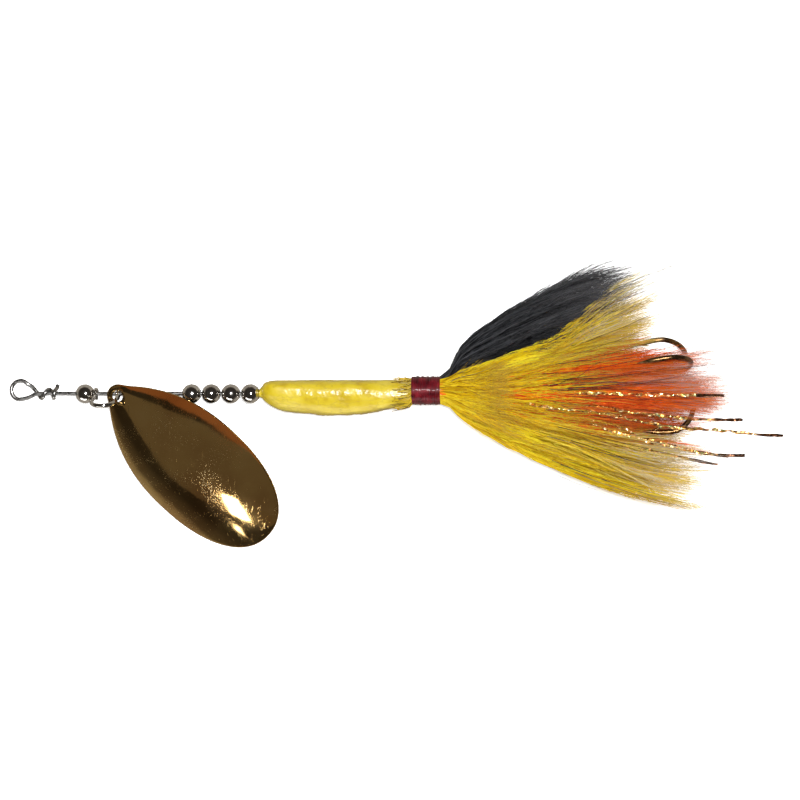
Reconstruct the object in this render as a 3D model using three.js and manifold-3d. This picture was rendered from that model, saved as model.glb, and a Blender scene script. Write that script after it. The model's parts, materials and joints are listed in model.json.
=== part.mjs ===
import * as THREE from "three";
import { mergeVertices } from "three/addons/utils/BufferGeometryUtils.js";
import Module from "manifold-3d";

// Inline spinner, lying on a flat surface (Z = 0). Millimetres.
// World frame: +X from the line eye to the tail, +Z up. The lure leans on its front bead and its rear hook,
// so everything on the wire is built in a "lure" frame whose x axis is the wire, and that frame is tilted.
// Angles around the wire are counted from +y toward +z.

// Driving dimensions
const WIRE_R = 0.65; // stainless shaft wire
const TILT = THREE.MathUtils.degToRad(3.7); // rise of the wire toward the tail
const SHAFT_SIDE = 3.7; // sideways offset of the wire from the object's centre line
const BEAD_R = 3.175; // quarter-inch beads
const BEAD_BORE_R = 0.9;
const FRONT_BEAD_X = -102.2;
const REAR_BEAD_X = -66.7; // first of the four beads behind the blade
const BEAD_PITCH = 6.5;

const EYE = { x: -123.75, y: 1.2, r: 3.12 }; // front line eye, wire centre line
const WRAP_R = 1.45; // centre line of the wire turns around the shaft
const REAR_EYE = { x: 40, r: 2.4 };

const CLEVIS = { x: -94.8, half: 3.7, straight: 7.3, lean: 21, wire: 0.75, ear: 2.1, earLength: 1.1, bore: 0.85 };

const BLADE = { length: 71.4, width: 35.6, thickness: 0.85, dish: 6, widest: 0.56, lug: 3.8, hole: 1.8 };
const BLADE_AT = { x: -90.6, y: 3.1, z: 6.35, roll: 11.8, pitch: 2.9, yaw: -43.3 };

const BODY_FRONT = -43.4;
const BODY_REAR = 4.9;
const KEEL = { skew: 0.33, fadeFrom: -12, fadeTo: -3 }; // the body is fullest beside the wire and thinner at its keel
const COLLAR = { r: 2.8, end: 15.3, side: 1.0 };
const WRAP_THREAD = { start: 5.9, end: 15.3, inner: 4.1, outer: 4.7 };

const SPLIT_RING = { x: 44.7, r: 3.65, wire: 0.4, gap: 0.9, roll: -9 };

const TREBLE = { x: 46.8, yaw: 7.6, pitch: 1.2, roll: -18, wire: 0.85, eye: 2.6, cluster: 1.15 };
const HOOK = { shank: 39, bend: 8.8, point: 32.5, lean: 1.6 };

const TAIL_START = 16; // hair leaves the thread here
const CORE_START = 16.8;
const HOOK_ROLLS = [-48, 72, 192]; // planes of the three hooks
const HOOK_GAP = 1.45; // half the slot that the hair leaves for a hook
const LAYER_GAP = 1.1; // between the layers of hair

const NICKEL = { color: 0xc9c6bf, metalness: 0.95, roughness: 0.22 };
const STEEL_WIRE = { color: 0xb9b5ab, metalness: 0.95, roughness: 0.3 };
const GOLD = { color: 0xc8962f, metalness: 0.95, roughness: 0.2 };
const BRONZE = { color: 0x5d4330, metalness: 0.85, roughness: 0.35 };
const YELLOW_PAINT = { color: 0xe9cf35, metalness: 0, roughness: 0.2 };
const RED_THREAD = { color: 0x7a0d1c, metalness: 0, roughness: 0.5 };
const YELLOW_HAIR = { color: 0xdcb50f, metalness: 0, roughness: 0.7 };
const ORANGE_HAIR = { color: 0xd9480c, metalness: 0, roughness: 0.7 };
const BLACK_HAIR = { color: 0x14151c, metalness: 0, roughness: 0.7 };
const TINSEL = { color: 0xd9b25c, metalness: 0.9, roughness: 0.25 };

const { degToRad, lerp, clamp, smoothstep } = THREE.MathUtils;
const wasm = await Module();
wasm.setup();

const spinner = new THREE.Group();
const lure = new THREE.Group();
lure.rotation.y = -TILT;
lure.position.set(0, SHAFT_SIDE, BEAD_R / Math.cos(TILT) - FRONT_BEAD_X * Math.sin(TILT));
spinner.add(lure);

function addPiece(name, geometry, look, parent = lure) {
  const mesh = new THREE.Mesh(geometry, new THREE.MeshStandardMaterial(look));
  mesh.name = name;
  parent.add(mesh);
  return mesh;
}

// ---------- shape helpers ----------

// A route that is sampled exactly at its points, so that bends can be finer than straights.
class Route extends THREE.CatmullRomCurve3 {
  getPointAt(u, target) {
    return this.getPoint(u, target);
  }

  getTangentAt(u, target) {
    return this.getTangent(u, target);
  }
}

function roundSection(radius, sides) {
  const points = [];
  for (let i = 0; i < sides; i++) {
    const a = (i / sides) * 2 * Math.PI;
    points.push(new THREE.Vector2(radius * Math.cos(a), radius * Math.sin(a)));
  }
  return new THREE.Shape(points);
}

// A solid swept along points; taper(i) scales the section at point i.
function sweep(points, section, taper = () => 1) {
  const route = new Route(points, false, "centripetal");
  const geometry = new THREE.ExtrudeGeometry(section, { steps: points.length - 1, extrudePath: route });
  const position = geometry.getAttribute("position");
  const v = new THREE.Vector3();
  for (let k = 0; k < position.count; k++) {
    v.fromBufferAttribute(position, k);
    let nearest = 0;
    points.forEach((p, i) => {
      if (p.distanceToSquared(v) < points[nearest].distanceToSquared(v)) nearest = i;
    });
    v.sub(points[nearest]).multiplyScalar(taper(nearest)).add(points[nearest]);
    position.setXYZ(k, v.x, v.y, v.z);
  }
  return geometry;
}

function wire(points, radius, sides = 8, taper = undefined) {
  return sweep(points, roundSection(radius, sides), taper);
}

// A turned ring or solid around the wire from a profile of [x, radius] points, outer side running toward +x.
function turned(profile, sides, centre = () => 0) {
  const geometry = new THREE.LatheGeometry(profile.map(([x, r]) => new THREE.Vector2(r, x)), sides);
  const position = geometry.getAttribute("position");
  for (let k = 0; k < position.count; k++) {
    const [z, x, y] = [position.getX(k), position.getY(k), position.getZ(k)];
    position.setXYZ(k, x, y + centre(x), z);
  }
  return geometry;
}

// A closed solid through a row of outlines: outline(t, a) is the point at station t and turn a, both 0 to 1,
// going round from +y to +z as seen from the tail. Each end closes on the point midway between its quarter
// turns, set off by endPush.
function loft(outline, stations, sides, endPush = [0, 0]) {
  const profile = [new THREE.Vector2(0, 0)];
  for (let j = 0; j <= stations; j++) profile.push(new THREE.Vector2(1, j / stations));
  profile.push(new THREE.Vector2(0, 1));
  const geometry = new THREE.LatheGeometry(profile, sides);
  const position = geometry.getAttribute("position");
  const middle = (t, push) => outline(t, 0.25).add(outline(t, 0.75)).divideScalar(2).add(at(push, 0, 0));
  const ends = [middle(0, -endPush[0]), middle(1, endPush[1])];
  for (let k = 0; k < position.count; k++) {
    const j = k % profile.length;
    const turn = (Math.floor(k / profile.length) % sides) / sides;
    let p = outline((j - 1) / stations, turn);
    if (j === 0) p = ends[0];
    if (j === profile.length - 1) p = ends[1];
    position.setXYZ(k, p.x, p.y, p.z);
  }
  return geometry;
}

function solid(geometry) {
  const bare = new THREE.BufferGeometry();
  bare.setAttribute("position", geometry.getAttribute("position"));
  if (geometry.index) bare.setIndex(geometry.index);
  const merged = mergeVertices(bare, 1e-4);
  return new wasm.Manifold(
    new wasm.Mesh({
      numProp: 3,
      vertProperties: new Float32Array(merged.attributes.position.array),
      triVerts: new Uint32Array(merged.index.array),
    }),
  );
}

function geometryOf(manifold) {
  const mesh = manifold.getMesh();
  const geometry = new THREE.BufferGeometry();
  geometry.setAttribute("position", new THREE.BufferAttribute(new Float32Array(mesh.vertProperties), 3));
  geometry.setIndex(new THREE.BufferAttribute(new Uint32Array(mesh.triVerts), 1));
  return geometry;
}

function rodAlongX(x0, x1, radius, sides = 16) {
  const rod = new THREE.CylinderGeometry(radius, radius, x1 - x0, sides);
  rod.rotateZ(Math.PI / 2);
  rod.translate((x0 + x1) / 2, 0, 0);
  return rod;
}

// A value that changes evenly between [x, value] pairs.
function valueAlong(pairs) {
  return (x) => {
    if (x <= pairs[0][0]) return pairs[0][1];
    const i = pairs.findIndex(([px]) => px >= x);
    if (i < 0) return pairs[pairs.length - 1][1];
    const [x0, v0] = pairs[i - 1];
    const [x1, v1] = pairs[i];
    return lerp(v0, v1, (x - x0) / (x1 - x0));
  };
}

const around = (x, radius, degrees) => {
  const a = degToRad(degrees);
  return new THREE.Vector3(x, radius * Math.cos(a), radius * Math.sin(a));
};
const at = (x, y, z = 0) => new THREE.Vector3(x, y, z);

// ---------- wire shaft ----------

function wireShaft() {
  const points = [];
  // rear: two turns around the shaft, then the hook eye
  for (let i = 0; i <= 16; i++) points.push(around(33.4 + (3.4 * i) / 16, WRAP_R, 270 + 45 * i - 720));
  points.push(at(37.6, 1.1, -1.1), at(38.6, 1.95, -0.35));
  for (let i = 0; i <= 8; i++) {
    const a = degToRad(90 - (215 * i) / 8);
    points.push(at(REAR_EYE.x + REAR_EYE.r * Math.cos(a), REAR_EYE.r * Math.sin(a)));
  }
  points.push(at(37.2, -0.7), at(35.8, -0.05), at(34, 0), at(15, 0), at(-45, 0), at(-100, 0));
  // front: the line eye, then the turns that run back along the shaft and the cut tag
  points.push(at(-117.4, 0), at(-119.2, -0.3), at(-121, -1.2));
  for (let i = 0; i <= 9; i++) {
    const a = degToRad(-105 - (215 * i) / 9);
    points.push(at(EYE.x + EYE.r * Math.cos(a), EYE.y + EYE.r * Math.sin(a)));
  }
  points.push(at(-120.2, 2.5, -0.5), at(-119.2, 1.3, -1.1));
  for (let i = 0; i <= 14; i++) {
    const turns = i / 8;
    points.push(around(-118.25 + 6.6 * turns - 1.72 * turns ** 2, WRAP_R, -90 - 360 * turns));
  }
  points.push(at(-111.7, 2.0, -0.75), at(-111.6, 2.9, -1.1));
  return wire(points, WIRE_R);
}

addPiece("wire_shaft", wireShaft(), STEEL_WIRE);

// ---------- beads ----------

function beadGeometry() {
  const half = Math.sqrt(BEAD_R ** 2 - BEAD_BORE_R ** 2);
  const start = Math.acos(half / BEAD_R);
  const arcs = 10;
  const profile = [];
  for (let i = 0; i <= arcs; i++) {
    const a = lerp(Math.PI - start, start, i / arcs);
    profile.push([BEAD_R * Math.cos(a), BEAD_R * Math.sin(a)]);
  }
  profile.push([-half, BEAD_BORE_R]);
  return turned(profile, 20);
}

addPiece("front_bead", beadGeometry(), NICKEL).position.x = FRONT_BEAD_X;
for (let i = 0; i < 4; i++) {
  addPiece("bead_" + (i + 1), beadGeometry(), NICKEL).position.x = REAR_BEAD_X + BEAD_PITCH * i;
}

// ---------- clevis ----------

function clevis() {
  const { half, straight, ear, earLength, bore } = CLEVIS;
  const points = [at(-half, 0, 1.2), at(-half, 0, 3.5), at(-half, 0, straight)];
  for (let i = 1; i < 10; i++) {
    const a = Math.PI * (1 - i / 10);
    points.push(at(half * Math.cos(a), 0, straight + half * Math.sin(a)));
  }
  points.push(at(half, 0, straight), at(half, 0, 3.5), at(half, 0, 1.2));
  let made = solid(wire(points, CLEVIS.wire, 10));
  for (const x of [-half, half]) made = made.add(solid(rodAlongX(x - earLength / 2, x + earLength / 2, ear, 20)));
  return geometryOf(made.subtract(solid(rodAlongX(-half - 2, half + 2, bore))));
}

const clevisMesh = addPiece("clevis", clevis(), NICKEL);
clevisMesh.position.x = CLEVIS.x;
clevisMesh.rotation.x = degToRad(CLEVIS.lean);

// ---------- blade ----------

// Half width of the blade at s, measured from the hole toward the wide end.
function bladeHalfWidth(s) {
  const t = (s + BLADE.lug) / BLADE.length;
  const u = t > BLADE.widest ? (t - BLADE.widest) / (1 - BLADE.widest) : (BLADE.widest - t) / BLADE.widest;
  const leaf =
    t > BLADE.widest ? Math.max(0, 1 - u ** 2.2) ** (1 / 2.2) : Math.max(0, 1 - u ** 2.3) ** 0.87;
  const lug = Math.sqrt(Math.max(0, BLADE.lug ** 2 - s ** 2));
  return Math.max((BLADE.width / 2) * leaf, s < BLADE.lug ? lug : 0);
}

function bladeDish(s, v) {
  const t = (s + BLADE.lug) / BLADE.length;
  const u = t > BLADE.widest ? (t - BLADE.widest) / (1 - BLADE.widest) : (BLADE.widest - t) / BLADE.widest;
  const w = Math.max(bladeHalfWidth(s), 1e-6);
  return BLADE.dish * (1 - u ** 2) * Math.max(0, 1 - (v / w) ** 2);
}

function blade() {
  const rings = 7;
  const sides = 48;
  const shares = [];
  for (let j = 0; j <= rings; j++) shares.push(1 - (j / rings) ** 1.3);
  const profile = [...shares.map((f) => [f, 1]), ...shares.reverse().map((f) => [f, -1])];
  profile.unshift([1, -1]);
  profile.pop();
  profile.push([1, -1]);
  const geometry = new THREE.LatheGeometry(profile.map(([f, side]) => new THREE.Vector2(1 + f, side)), sides);
  const position = geometry.getAttribute("position");
  for (let k = 0; k < position.count; k++) {
    const [f, side] = profile[k % profile.length];
    const turn = (Math.floor(k / profile.length) % sides) / sides;
    const a = 2 * Math.PI * turn;
    const rimS = -BLADE.lug + (BLADE.length * (1 + Math.cos(a))) / 2;
    const rimV = Math.sign(Math.sin(a)) * bladeHalfWidth(rimS) * (Math.abs(Math.sin(a)) < 1e-9 ? 0 : 1);
    const s = lerp(BLADE.hole * Math.cos(a), rimS, f);
    const v = lerp(BLADE.hole * Math.sin(a), rimV, f);
    position.setXYZ(k, s, v, bladeDish(s, v) + (side * BLADE.thickness) / 2);
  }
  return geometry;
}

const bladeMesh = addPiece("spinner_blade", blade(), GOLD, spinner);
bladeMesh.position.set(BLADE_AT.x, BLADE_AT.y, BLADE_AT.z);
bladeMesh.rotation.set(degToRad(BLADE_AT.roll), degToRad(BLADE_AT.pitch), degToRad(BLADE_AT.yaw), "ZYX");

// ---------- lead body ----------

const bodyTop = valueAlong([[-43.4, 2.4], [-42.7, 3.4], [-41.3, 4.1], [-39, 4.5], [0, 4.5], [4.9, 4.3]]);
const bodyBottom = valueAlong([
  [-43.4, 1.4], [-42.7, 2.3], [-41.3, 3.5], [-39, 4.8], [-36.8, 5.7], [-33, 6.2], [-28, 6.6], [-23, 7.2],
  [-18, 7.1], [-9, 6.6], [-4.4, 5.7], [0.3, 4.8], [4.9, 3.9],
]);
const bodyHalf = valueAlong([[-43.4, 1.9], [-42.7, 2.9], [-41.3, 3.9], [-39, 4.6], [-35, 4.9], [-3, 4.8], [4.9, 4.2]]);

function bodySkin(x, degrees) {
  const [top, bottom, half] = [bodyTop(x), bodyBottom(x), bodyHalf(x)];
  const a = degToRad(degrees);
  const skew = KEEL.skew * (1 - smoothstep(x, KEEL.fadeFrom, KEEL.fadeTo));
  return at(x, (top - bottom) / 2 + ((top + bottom) / 2) * Math.cos(a), half * Math.sin(a + skew * Math.sin(a)));
}

function leadBody() {
  const stations = [-43.4, -42.7, -41.3, -39, -36.8, -33, -28, -23, -18, -13.5, -9, -4.4, 0.3, 4.9];
  const skin = loft(
    (t, turn) => bodySkin(stations[Math.round(t * (stations.length - 1))], turn * 360),
    stations.length - 1,
    24,
  );
  const collar = rodAlongX(BODY_REAR - 1, COLLAR.end, COLLAR.r, 24);
  collar.translate(0, COLLAR.side, 0);
  const bore = rodAlongX(BODY_FRONT - 3, COLLAR.end + 3, WIRE_R + 0.2);
  return geometryOf(solid(skin).add(solid(collar)).subtract(solid(bore)));
}

addPiece("lead_body", leadBody(), YELLOW_PAINT);

// ---------- thread and hair butts ----------

function threadWrap() {
  const { start, end, inner, outer } = WRAP_THREAD;
  const crown = [[start, outer - 0.35], [start + 0.5, outer], [end - 0.5, outer], [end, outer - 0.35]];
  return turned([[start, inner], ...crown, [end, inner], [start, inner]], 24, () => COLLAR.side);
}

addPiece("thread_wrap", threadWrap(), RED_THREAD);

// A sleeve between collar and thread that flares forward over the body's tail.
function hairButts() {
  const profile = [
    [-1.2, 5.1], [-1.2, 5.8], [5.2, 5.0], [5.6, 3.8], [15.3, 3.8], [15.3, 3.1], [5.3, 3.1], [5.1, 4.5],
  ];
  const onBody = (x) => (bodyTop(x) - bodyBottom(x)) / 2;
  return turned([...profile, profile[0]], 24, (x) => (x < 5.25 ? onBody(x) : COLLAR.side));
}

addPiece("hair_butts", hairButts(), YELLOW_HAIR);

// ---------- split ring ----------

// Two flat turns joined by a short jog, which stays clear of the eyes.
function splitRing() {
  const points = [];
  for (let degrees = 30; degrees <= 690; degrees += 15) {
    const a = degToRad(degrees + 90);
    const side = lerp(-0.5, 0.5, smoothstep(degrees, 330, 390)) * SPLIT_RING.gap;
    points.push(at(SPLIT_RING.r * Math.cos(a), side, SPLIT_RING.r * Math.sin(a)));
  }
  return wire(points, SPLIT_RING.wire);
}

const ringMesh = addPiece("split_ring", splitRing(), NICKEL);
ringMesh.position.x = SPLIT_RING.x;
ringMesh.rotation.x = degToRad(SPLIT_RING.roll);

// ---------- treble hook ----------

const treble = new THREE.Group();
treble.position.x = TREBLE.x;
treble.rotation.set(0, degToRad(TREBLE.pitch), degToRad(TREBLE.yaw), "ZYX");
lure.add(treble);

// Points of one hook from the shank to its point, in the treble's frame (x from the eye's front wire).
function hookPoints(degrees) {
  const { shank, bend, point, lean } = HOOK;
  const points = [around(8, TREBLE.cluster, degrees), around(shank, TREBLE.cluster, degrees)];
  for (let i = 1; i < 12; i++) {
    const a = Math.PI * (i / 12 - 0.5);
    const reach = TREBLE.cluster + bend * (1 + Math.sin(a));
    points.push(around(shank + 2.2 + bend * Math.cos(a), reach, degrees));
  }
  const out = TREBLE.cluster + 2 * bend;
  for (const share of [0.35, 0.75, 0.9, 1]) {
    points.push(around(lerp(shank + 2.2, point, share), out - lean * share, degrees));
  }
  return points;
}

const HOOK_TAPER = [1, 0.95, 0.7, 0.18];
const hookTaper = (fromPoint) => (fromPoint < 4 ? HOOK_TAPER[3 - fromPoint] : 1);

function doubleHook() {
  const [a, , c] = HOOK_ROLLS;
  const eye = [];
  for (let i = 0; i <= 10; i++) {
    const turn = degToRad(-50 - (260 * i) / 10);
    const side = TREBLE.eye * Math.sin(turn);
    eye.push(
      at(
        TREBLE.eye * (1 + Math.cos(turn)),
        side * Math.cos(degToRad(TREBLE.roll)),
        side * Math.sin(degToRad(TREBLE.roll)),
      ),
    );
  }
  const points = [...hookPoints(c).reverse(), ...eye.reverse(), ...hookPoints(a)];
  return wire(points, TREBLE.wire, 8, (i) => hookTaper(Math.min(i, points.length - 1 - i)));
}

function thirdHook() {
  const points = hookPoints(HOOK_ROLLS[1]);
  return wire(points, TREBLE.wire, 8, (i) => hookTaper(points.length - 1 - i));
}

addPiece("treble_double_hook", doubleHook(), BRONZE, treble);
addPiece("treble_third_hook", thirdHook(), BRONZE, treble);

// ---------- hair ----------

const floorBelow = (x) => lure.position.z / Math.cos(TILT) + x * Math.tan(TILT);
// The tail's middle follows the wire, then the treble.
const tailMiddle = (x) => {
  const past = Math.max(0, x - TREBLE.x);
  return at(x, past * Math.tan(degToRad(TREBLE.yaw)), -past * Math.tan(degToRad(TREBLE.pitch)));
};

// Reach of the fan around its middle: wide sideways, flat where it lies on the surface.
function fanReach(x, degrees) {
  const d = x - TAIL_START;
  const a = degToRad(degrees);
  const sideways = Math.cos(a) > 0 ? 4.5 + 0.37 * d : 4.5 + 0.62 * d - 0.0014 * d ** 2;
  const raised = 4.5 + 0.3 * d;
  const upright = Math.sin(a) > 0 ? raised : Math.min(raised, floorBelow(x) + tailMiddle(x).z - 0.2);
  return (Math.abs(Math.cos(a) / sideways) ** 2.6 + Math.abs(Math.sin(a) / upright) ** 2.6) ** (-1 / 2.6);
}

const coreReach = valueAlong([[16, 2.9], [30, 6.3], [38, 7.6], [50, 10.5], [64, 13.5], [80, 15.6], [112, 17]]);
const coreHollow = valueAlong([[16, 1.3], [33, 3.2], [39, 5.3], [50, 5.3], [56, 3.7], [112, 3.7]]);
const orangeOuter = (x, degrees) => Math.min(coreReach(x), fanReach(x, degrees) - 1.7);
const pastHooks = valueAlong([[60, 0], [74, 20.8]]);
const yellowInner = (x, degrees) =>
  Math.min(Math.max(orangeOuter(x, degrees) + LAYER_GAP, pastHooks(x)), fanReach(x, degrees) - 0.5);
const blackInner = (x, degrees) => fanReach(x, degrees) + LAYER_GAP;
const blackOuter = valueAlong([[16, 5.6], [22, 14.5], [29, 20.5], [46, 30.5], [63, 36.5], [77, 40.5]]);

// One lock of hair: a curved wedge of the fan between two angles and two radii, closed to a point at the tip.
// keepClear sets its sides back from the hook planes.
function hairLock({ from, to, inner, outer, start = TAIL_START, end, tip, keepClear = 0 }) {
  const outerSteps = 9;
  const innerSteps = 7;
  const sides = outerSteps + innerSteps;
  const ring = (t, turn) => {
    const x = lerp(start, end, t);
    const i = Math.round(turn * sides);
    const onOuter = i < outerSteps;
    const share = onOuter ? i / (outerSteps - 1) : 1 - (i - outerSteps) / (innerSteps - 1);
    const reach = (degrees) => (onOuter ? outer(x, degrees) : inner(x, degrees));
    const setBack = (degrees) => {
      const r = reach(degrees);
      return keepClear ? THREE.MathUtils.radToDeg(Math.asin(clamp(keepClear / r, 0, 0.75))) : 0;
    };
    const degrees = lerp(from + setBack(from), to - setBack(to), share);
    const p = around(0, reach(degrees), degrees);
    return p.add(tailMiddle(x));
  };
  return loft(ring, 10, sides, [0.35, tip]);
}

const [HOOK_A, HOOK_B, HOOK_C] = HOOK_ROLLS;
const core = { inner: coreHollow, outer: orangeOuter, start: CORE_START, keepClear: HOOK_GAP };
const mantle = { inner: yellowInner, outer: fanReach };
const LOCKS = {
  orange_tuft_side: [ORANGE_HAIR, { from: HOOK_A, to: HOOK_B, ...core, end: 106, tip: 8 }],
  orange_tuft_top: [ORANGE_HAIR, { from: HOOK_B, to: HOOK_C, ...core, end: 110, tip: 10 }],
  orange_tuft_bottom: [ORANGE_HAIR, { from: HOOK_C, to: HOOK_A + 360, ...core, end: 108, tip: 8 }],
  yellow_tuft_upper: [YELLOW_HAIR, { from: -45, to: 52, ...mantle, end: 82, tip: 5 }],
  yellow_tuft_over: [YELLOW_HAIR, { from: 60, to: 178, ...mantle, end: 44, tip: 6 }],
  yellow_tuft_lower: [YELLOW_HAIR, { from: 182, to: 226, ...mantle, end: 88, tip: 8 }],
  black_tuft: [BLACK_HAIR, { from: -12, to: 22, inner: blackInner, outer: blackOuter, end: 74, tip: 4 }],
};
for (const [name, [look, lock]] of Object.entries(LOCKS)) {
  addPiece(name, hairLock(lock), look);
}

// ---------- tinsel strands ----------

// A flat strand that leaves the thread and rides over the hair, then runs on past it.
function flashStrand(from, to, end) {
  const steps = 12;
  const points = [];
  for (let i = 0; i <= steps; i++) {
    const x = lerp(TAIL_START, end, i / steps);
    const degrees = lerp(from, to, i / steps);
    const overYellow = fanReach(x, degrees);
    const overOrange = coreReach(x);
    const reach = 1.3 + lerp(overYellow, overOrange, smoothstep(x, 44, 62));
    points.push(around(0, reach, degrees).add(tailMiddle(x)));
  }
  const flat = new THREE.Shape([
    new THREE.Vector2(-0.2, -0.6), new THREE.Vector2(0.2, -0.6), new THREE.Vector2(0.2, 0.6), new THREE.Vector2(-0.2, 0.6),
  ]);
  return sweep(points, flat);
}

const STRANDS = [[88, 92, 108], [100, 104, 114], [112, 118, 128.3], [124, 138, 116], [140, 158, 112], [160, 176, 104]];
STRANDS.forEach(([from, to, end], i) => addPiece("flash_strand_" + (i + 1), flashStrand(from, to, end), TINSEL));

export default spinner;
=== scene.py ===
import json
import math

import bpy
import numpy as np
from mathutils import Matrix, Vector


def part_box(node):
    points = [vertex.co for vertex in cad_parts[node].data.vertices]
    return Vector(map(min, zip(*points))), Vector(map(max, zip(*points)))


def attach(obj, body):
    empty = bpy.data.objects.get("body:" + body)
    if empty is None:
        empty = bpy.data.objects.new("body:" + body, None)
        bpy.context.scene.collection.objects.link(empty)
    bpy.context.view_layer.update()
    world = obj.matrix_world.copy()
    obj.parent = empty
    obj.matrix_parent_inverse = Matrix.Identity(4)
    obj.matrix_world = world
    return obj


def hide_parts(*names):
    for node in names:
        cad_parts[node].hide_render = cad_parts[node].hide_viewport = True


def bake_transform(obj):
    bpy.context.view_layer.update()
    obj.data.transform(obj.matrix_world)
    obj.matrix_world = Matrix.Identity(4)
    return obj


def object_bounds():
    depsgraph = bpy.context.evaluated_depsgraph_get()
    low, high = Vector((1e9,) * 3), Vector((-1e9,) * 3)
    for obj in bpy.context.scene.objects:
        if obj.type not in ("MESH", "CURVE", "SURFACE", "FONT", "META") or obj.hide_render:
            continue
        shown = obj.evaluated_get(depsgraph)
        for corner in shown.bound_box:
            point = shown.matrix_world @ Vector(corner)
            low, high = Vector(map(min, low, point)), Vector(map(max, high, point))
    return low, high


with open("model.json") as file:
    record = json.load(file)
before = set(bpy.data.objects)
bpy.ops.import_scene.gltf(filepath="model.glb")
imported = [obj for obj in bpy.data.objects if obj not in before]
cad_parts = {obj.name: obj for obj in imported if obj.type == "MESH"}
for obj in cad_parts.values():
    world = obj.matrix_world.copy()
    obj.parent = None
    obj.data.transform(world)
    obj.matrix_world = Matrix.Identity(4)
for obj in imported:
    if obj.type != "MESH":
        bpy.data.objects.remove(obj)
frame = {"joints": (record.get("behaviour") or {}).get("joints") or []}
cad_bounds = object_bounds()

# An inline spinner with a hair tail, lying on a pale surface.
# Shapes are worked out in millimetres in the lure's own frame, whose x axis is the wire: the line eye is at
# -x and the tail at +x. place() turns them into metres in the model's frame. Angles round the wire count
# from +y to +z.

MM = 0.001
rng = np.random.default_rng(11)

# ---------- the lure's frame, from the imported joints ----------

JOINTS = {joint["name"]: joint for joint in frame["joints"]}
REAR_BEAD_X = -66.7  # where the first rear bead sits on the wire
BEAD_PITCH = 6.5
AXIS = np.array(JOINTS["bead_1_spin"]["axis"], float)
AXIS = AXIS / np.linalg.norm(AXIS)
SIDE = np.array([0.0, 1.0, 0.0])
UP = np.cross(AXIS, SIDE)
ORIGIN = np.array(JOINTS["bead_1_spin"]["pos_m"], float) - AXIS * REAR_BEAD_X * MM
TILT = math.asin(AXIS[2])
WIRE_HEIGHT = ORIGIN[2] / MM

BEAD_R = 3.175
BEAD_BORE = 0.9
LIP_R = 1.25  # the bead's round skin ends here, at the rolled lip of its bore
WIRE_R = 0.65
SEAM = 45.5  # the hair is cut here
TREBLE_X = 46.8
TREBLE_YAW = math.radians(7.6)
TREBLE_PITCH = math.radians(1.2)


def place(points):
    """Millimetres in the lure's frame to metres in the model's frame."""
    p = np.asarray(points, float) * MM
    return ORIGIN + p[..., 0:1] * AXIS + p[..., 1:2] * SIDE + p[..., 2:3] * UP


def around(x, radius, degrees):
    a = np.radians(degrees)
    x, y, z = np.broadcast_arrays(x, radius * np.cos(a), radius * np.sin(a))
    return np.stack([x, y, z], -1).astype(float)


def smoothstep(x, low, high):
    t = np.clip((x - low) / (high - low), 0, 1)
    return t * t * (3 - 2 * t)


def unit(v):
    return v / np.maximum(np.linalg.norm(v, axis=-1, keepdims=True), 1e-12)


def rotated(points, axis, angle):
    """Points turned by an angle in radians about the x, y or z axis."""
    i, j = {"x": (1, 2), "y": (2, 0), "z": (0, 1)}[axis]
    turned_points = np.array(points, float)
    a, b = np.asarray(points)[..., i], np.asarray(points)[..., j]
    turned_points[..., i] = a * math.cos(angle) - b * math.sin(angle)
    turned_points[..., j] = a * math.sin(angle) + b * math.cos(angle)
    return turned_points


# ---------- mesh helpers ----------


def new_mesh(name, vertices, quads=(), triangles=(), smooth=True):
    """A mesh object from vertices in metres and faces of vertex numbers. Triangles are flat end caps."""
    quads = np.asarray(quads, np.int32).reshape(-1, 4)
    triangles = np.asarray(triangles, np.int32).reshape(-1, 3)
    corners = np.concatenate([quads.ravel(), triangles.ravel()])
    starts = np.concatenate([np.arange(len(quads)) * 4, quads.size + np.arange(len(triangles)) * 3])
    mesh = bpy.data.meshes.new(name)
    mesh.vertices.add(len(vertices))
    mesh.vertices.foreach_set("co", np.asarray(vertices, np.float32).ravel())
    mesh.loops.add(len(corners))
    mesh.loops.foreach_set("vertex_index", corners)
    mesh.polygons.add(len(starts))
    mesh.polygons.foreach_set("loop_start", starts.astype(np.int32))
    mesh.polygons.foreach_set("use_smooth", (np.arange(len(starts)) < len(quads)) & smooth)
    mesh.update(calc_edges=True)
    mesh.validate()
    obj = bpy.data.objects.new(name, mesh)
    bpy.context.scene.collection.objects.link(obj)
    return obj


def set_attribute(obj, name, kind, values):
    attribute = obj.data.attributes.new(name, kind, "POINT")
    field = "color" if kind == "FLOAT_COLOR" else "value"
    attribute.data.foreach_set(field, np.asarray(values, np.float32).ravel())


def grid_quads(rows, columns, wrap_rows=False):
    """Vertex numbers of the quads of a grid whose columns close on themselves."""
    number = np.arange(rows * columns).reshape(rows, columns)
    if wrap_rows:
        number = np.vstack([number, number[:1]])
    a, b = number[:-1], number[1:]
    return np.stack([a, np.roll(a, -1, 1), np.roll(b, -1, 1), b], -1).reshape(-1, 4)


def join(parts):
    """Vertices and quads of several (vertices, quads) shells as one."""
    vertices, quads, count = [], [], 0
    for v, q in parts:
        vertices.append(v)
        quads.append(q + count)
        count += len(v)
    return np.vstack(vertices), np.vstack(quads)


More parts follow.
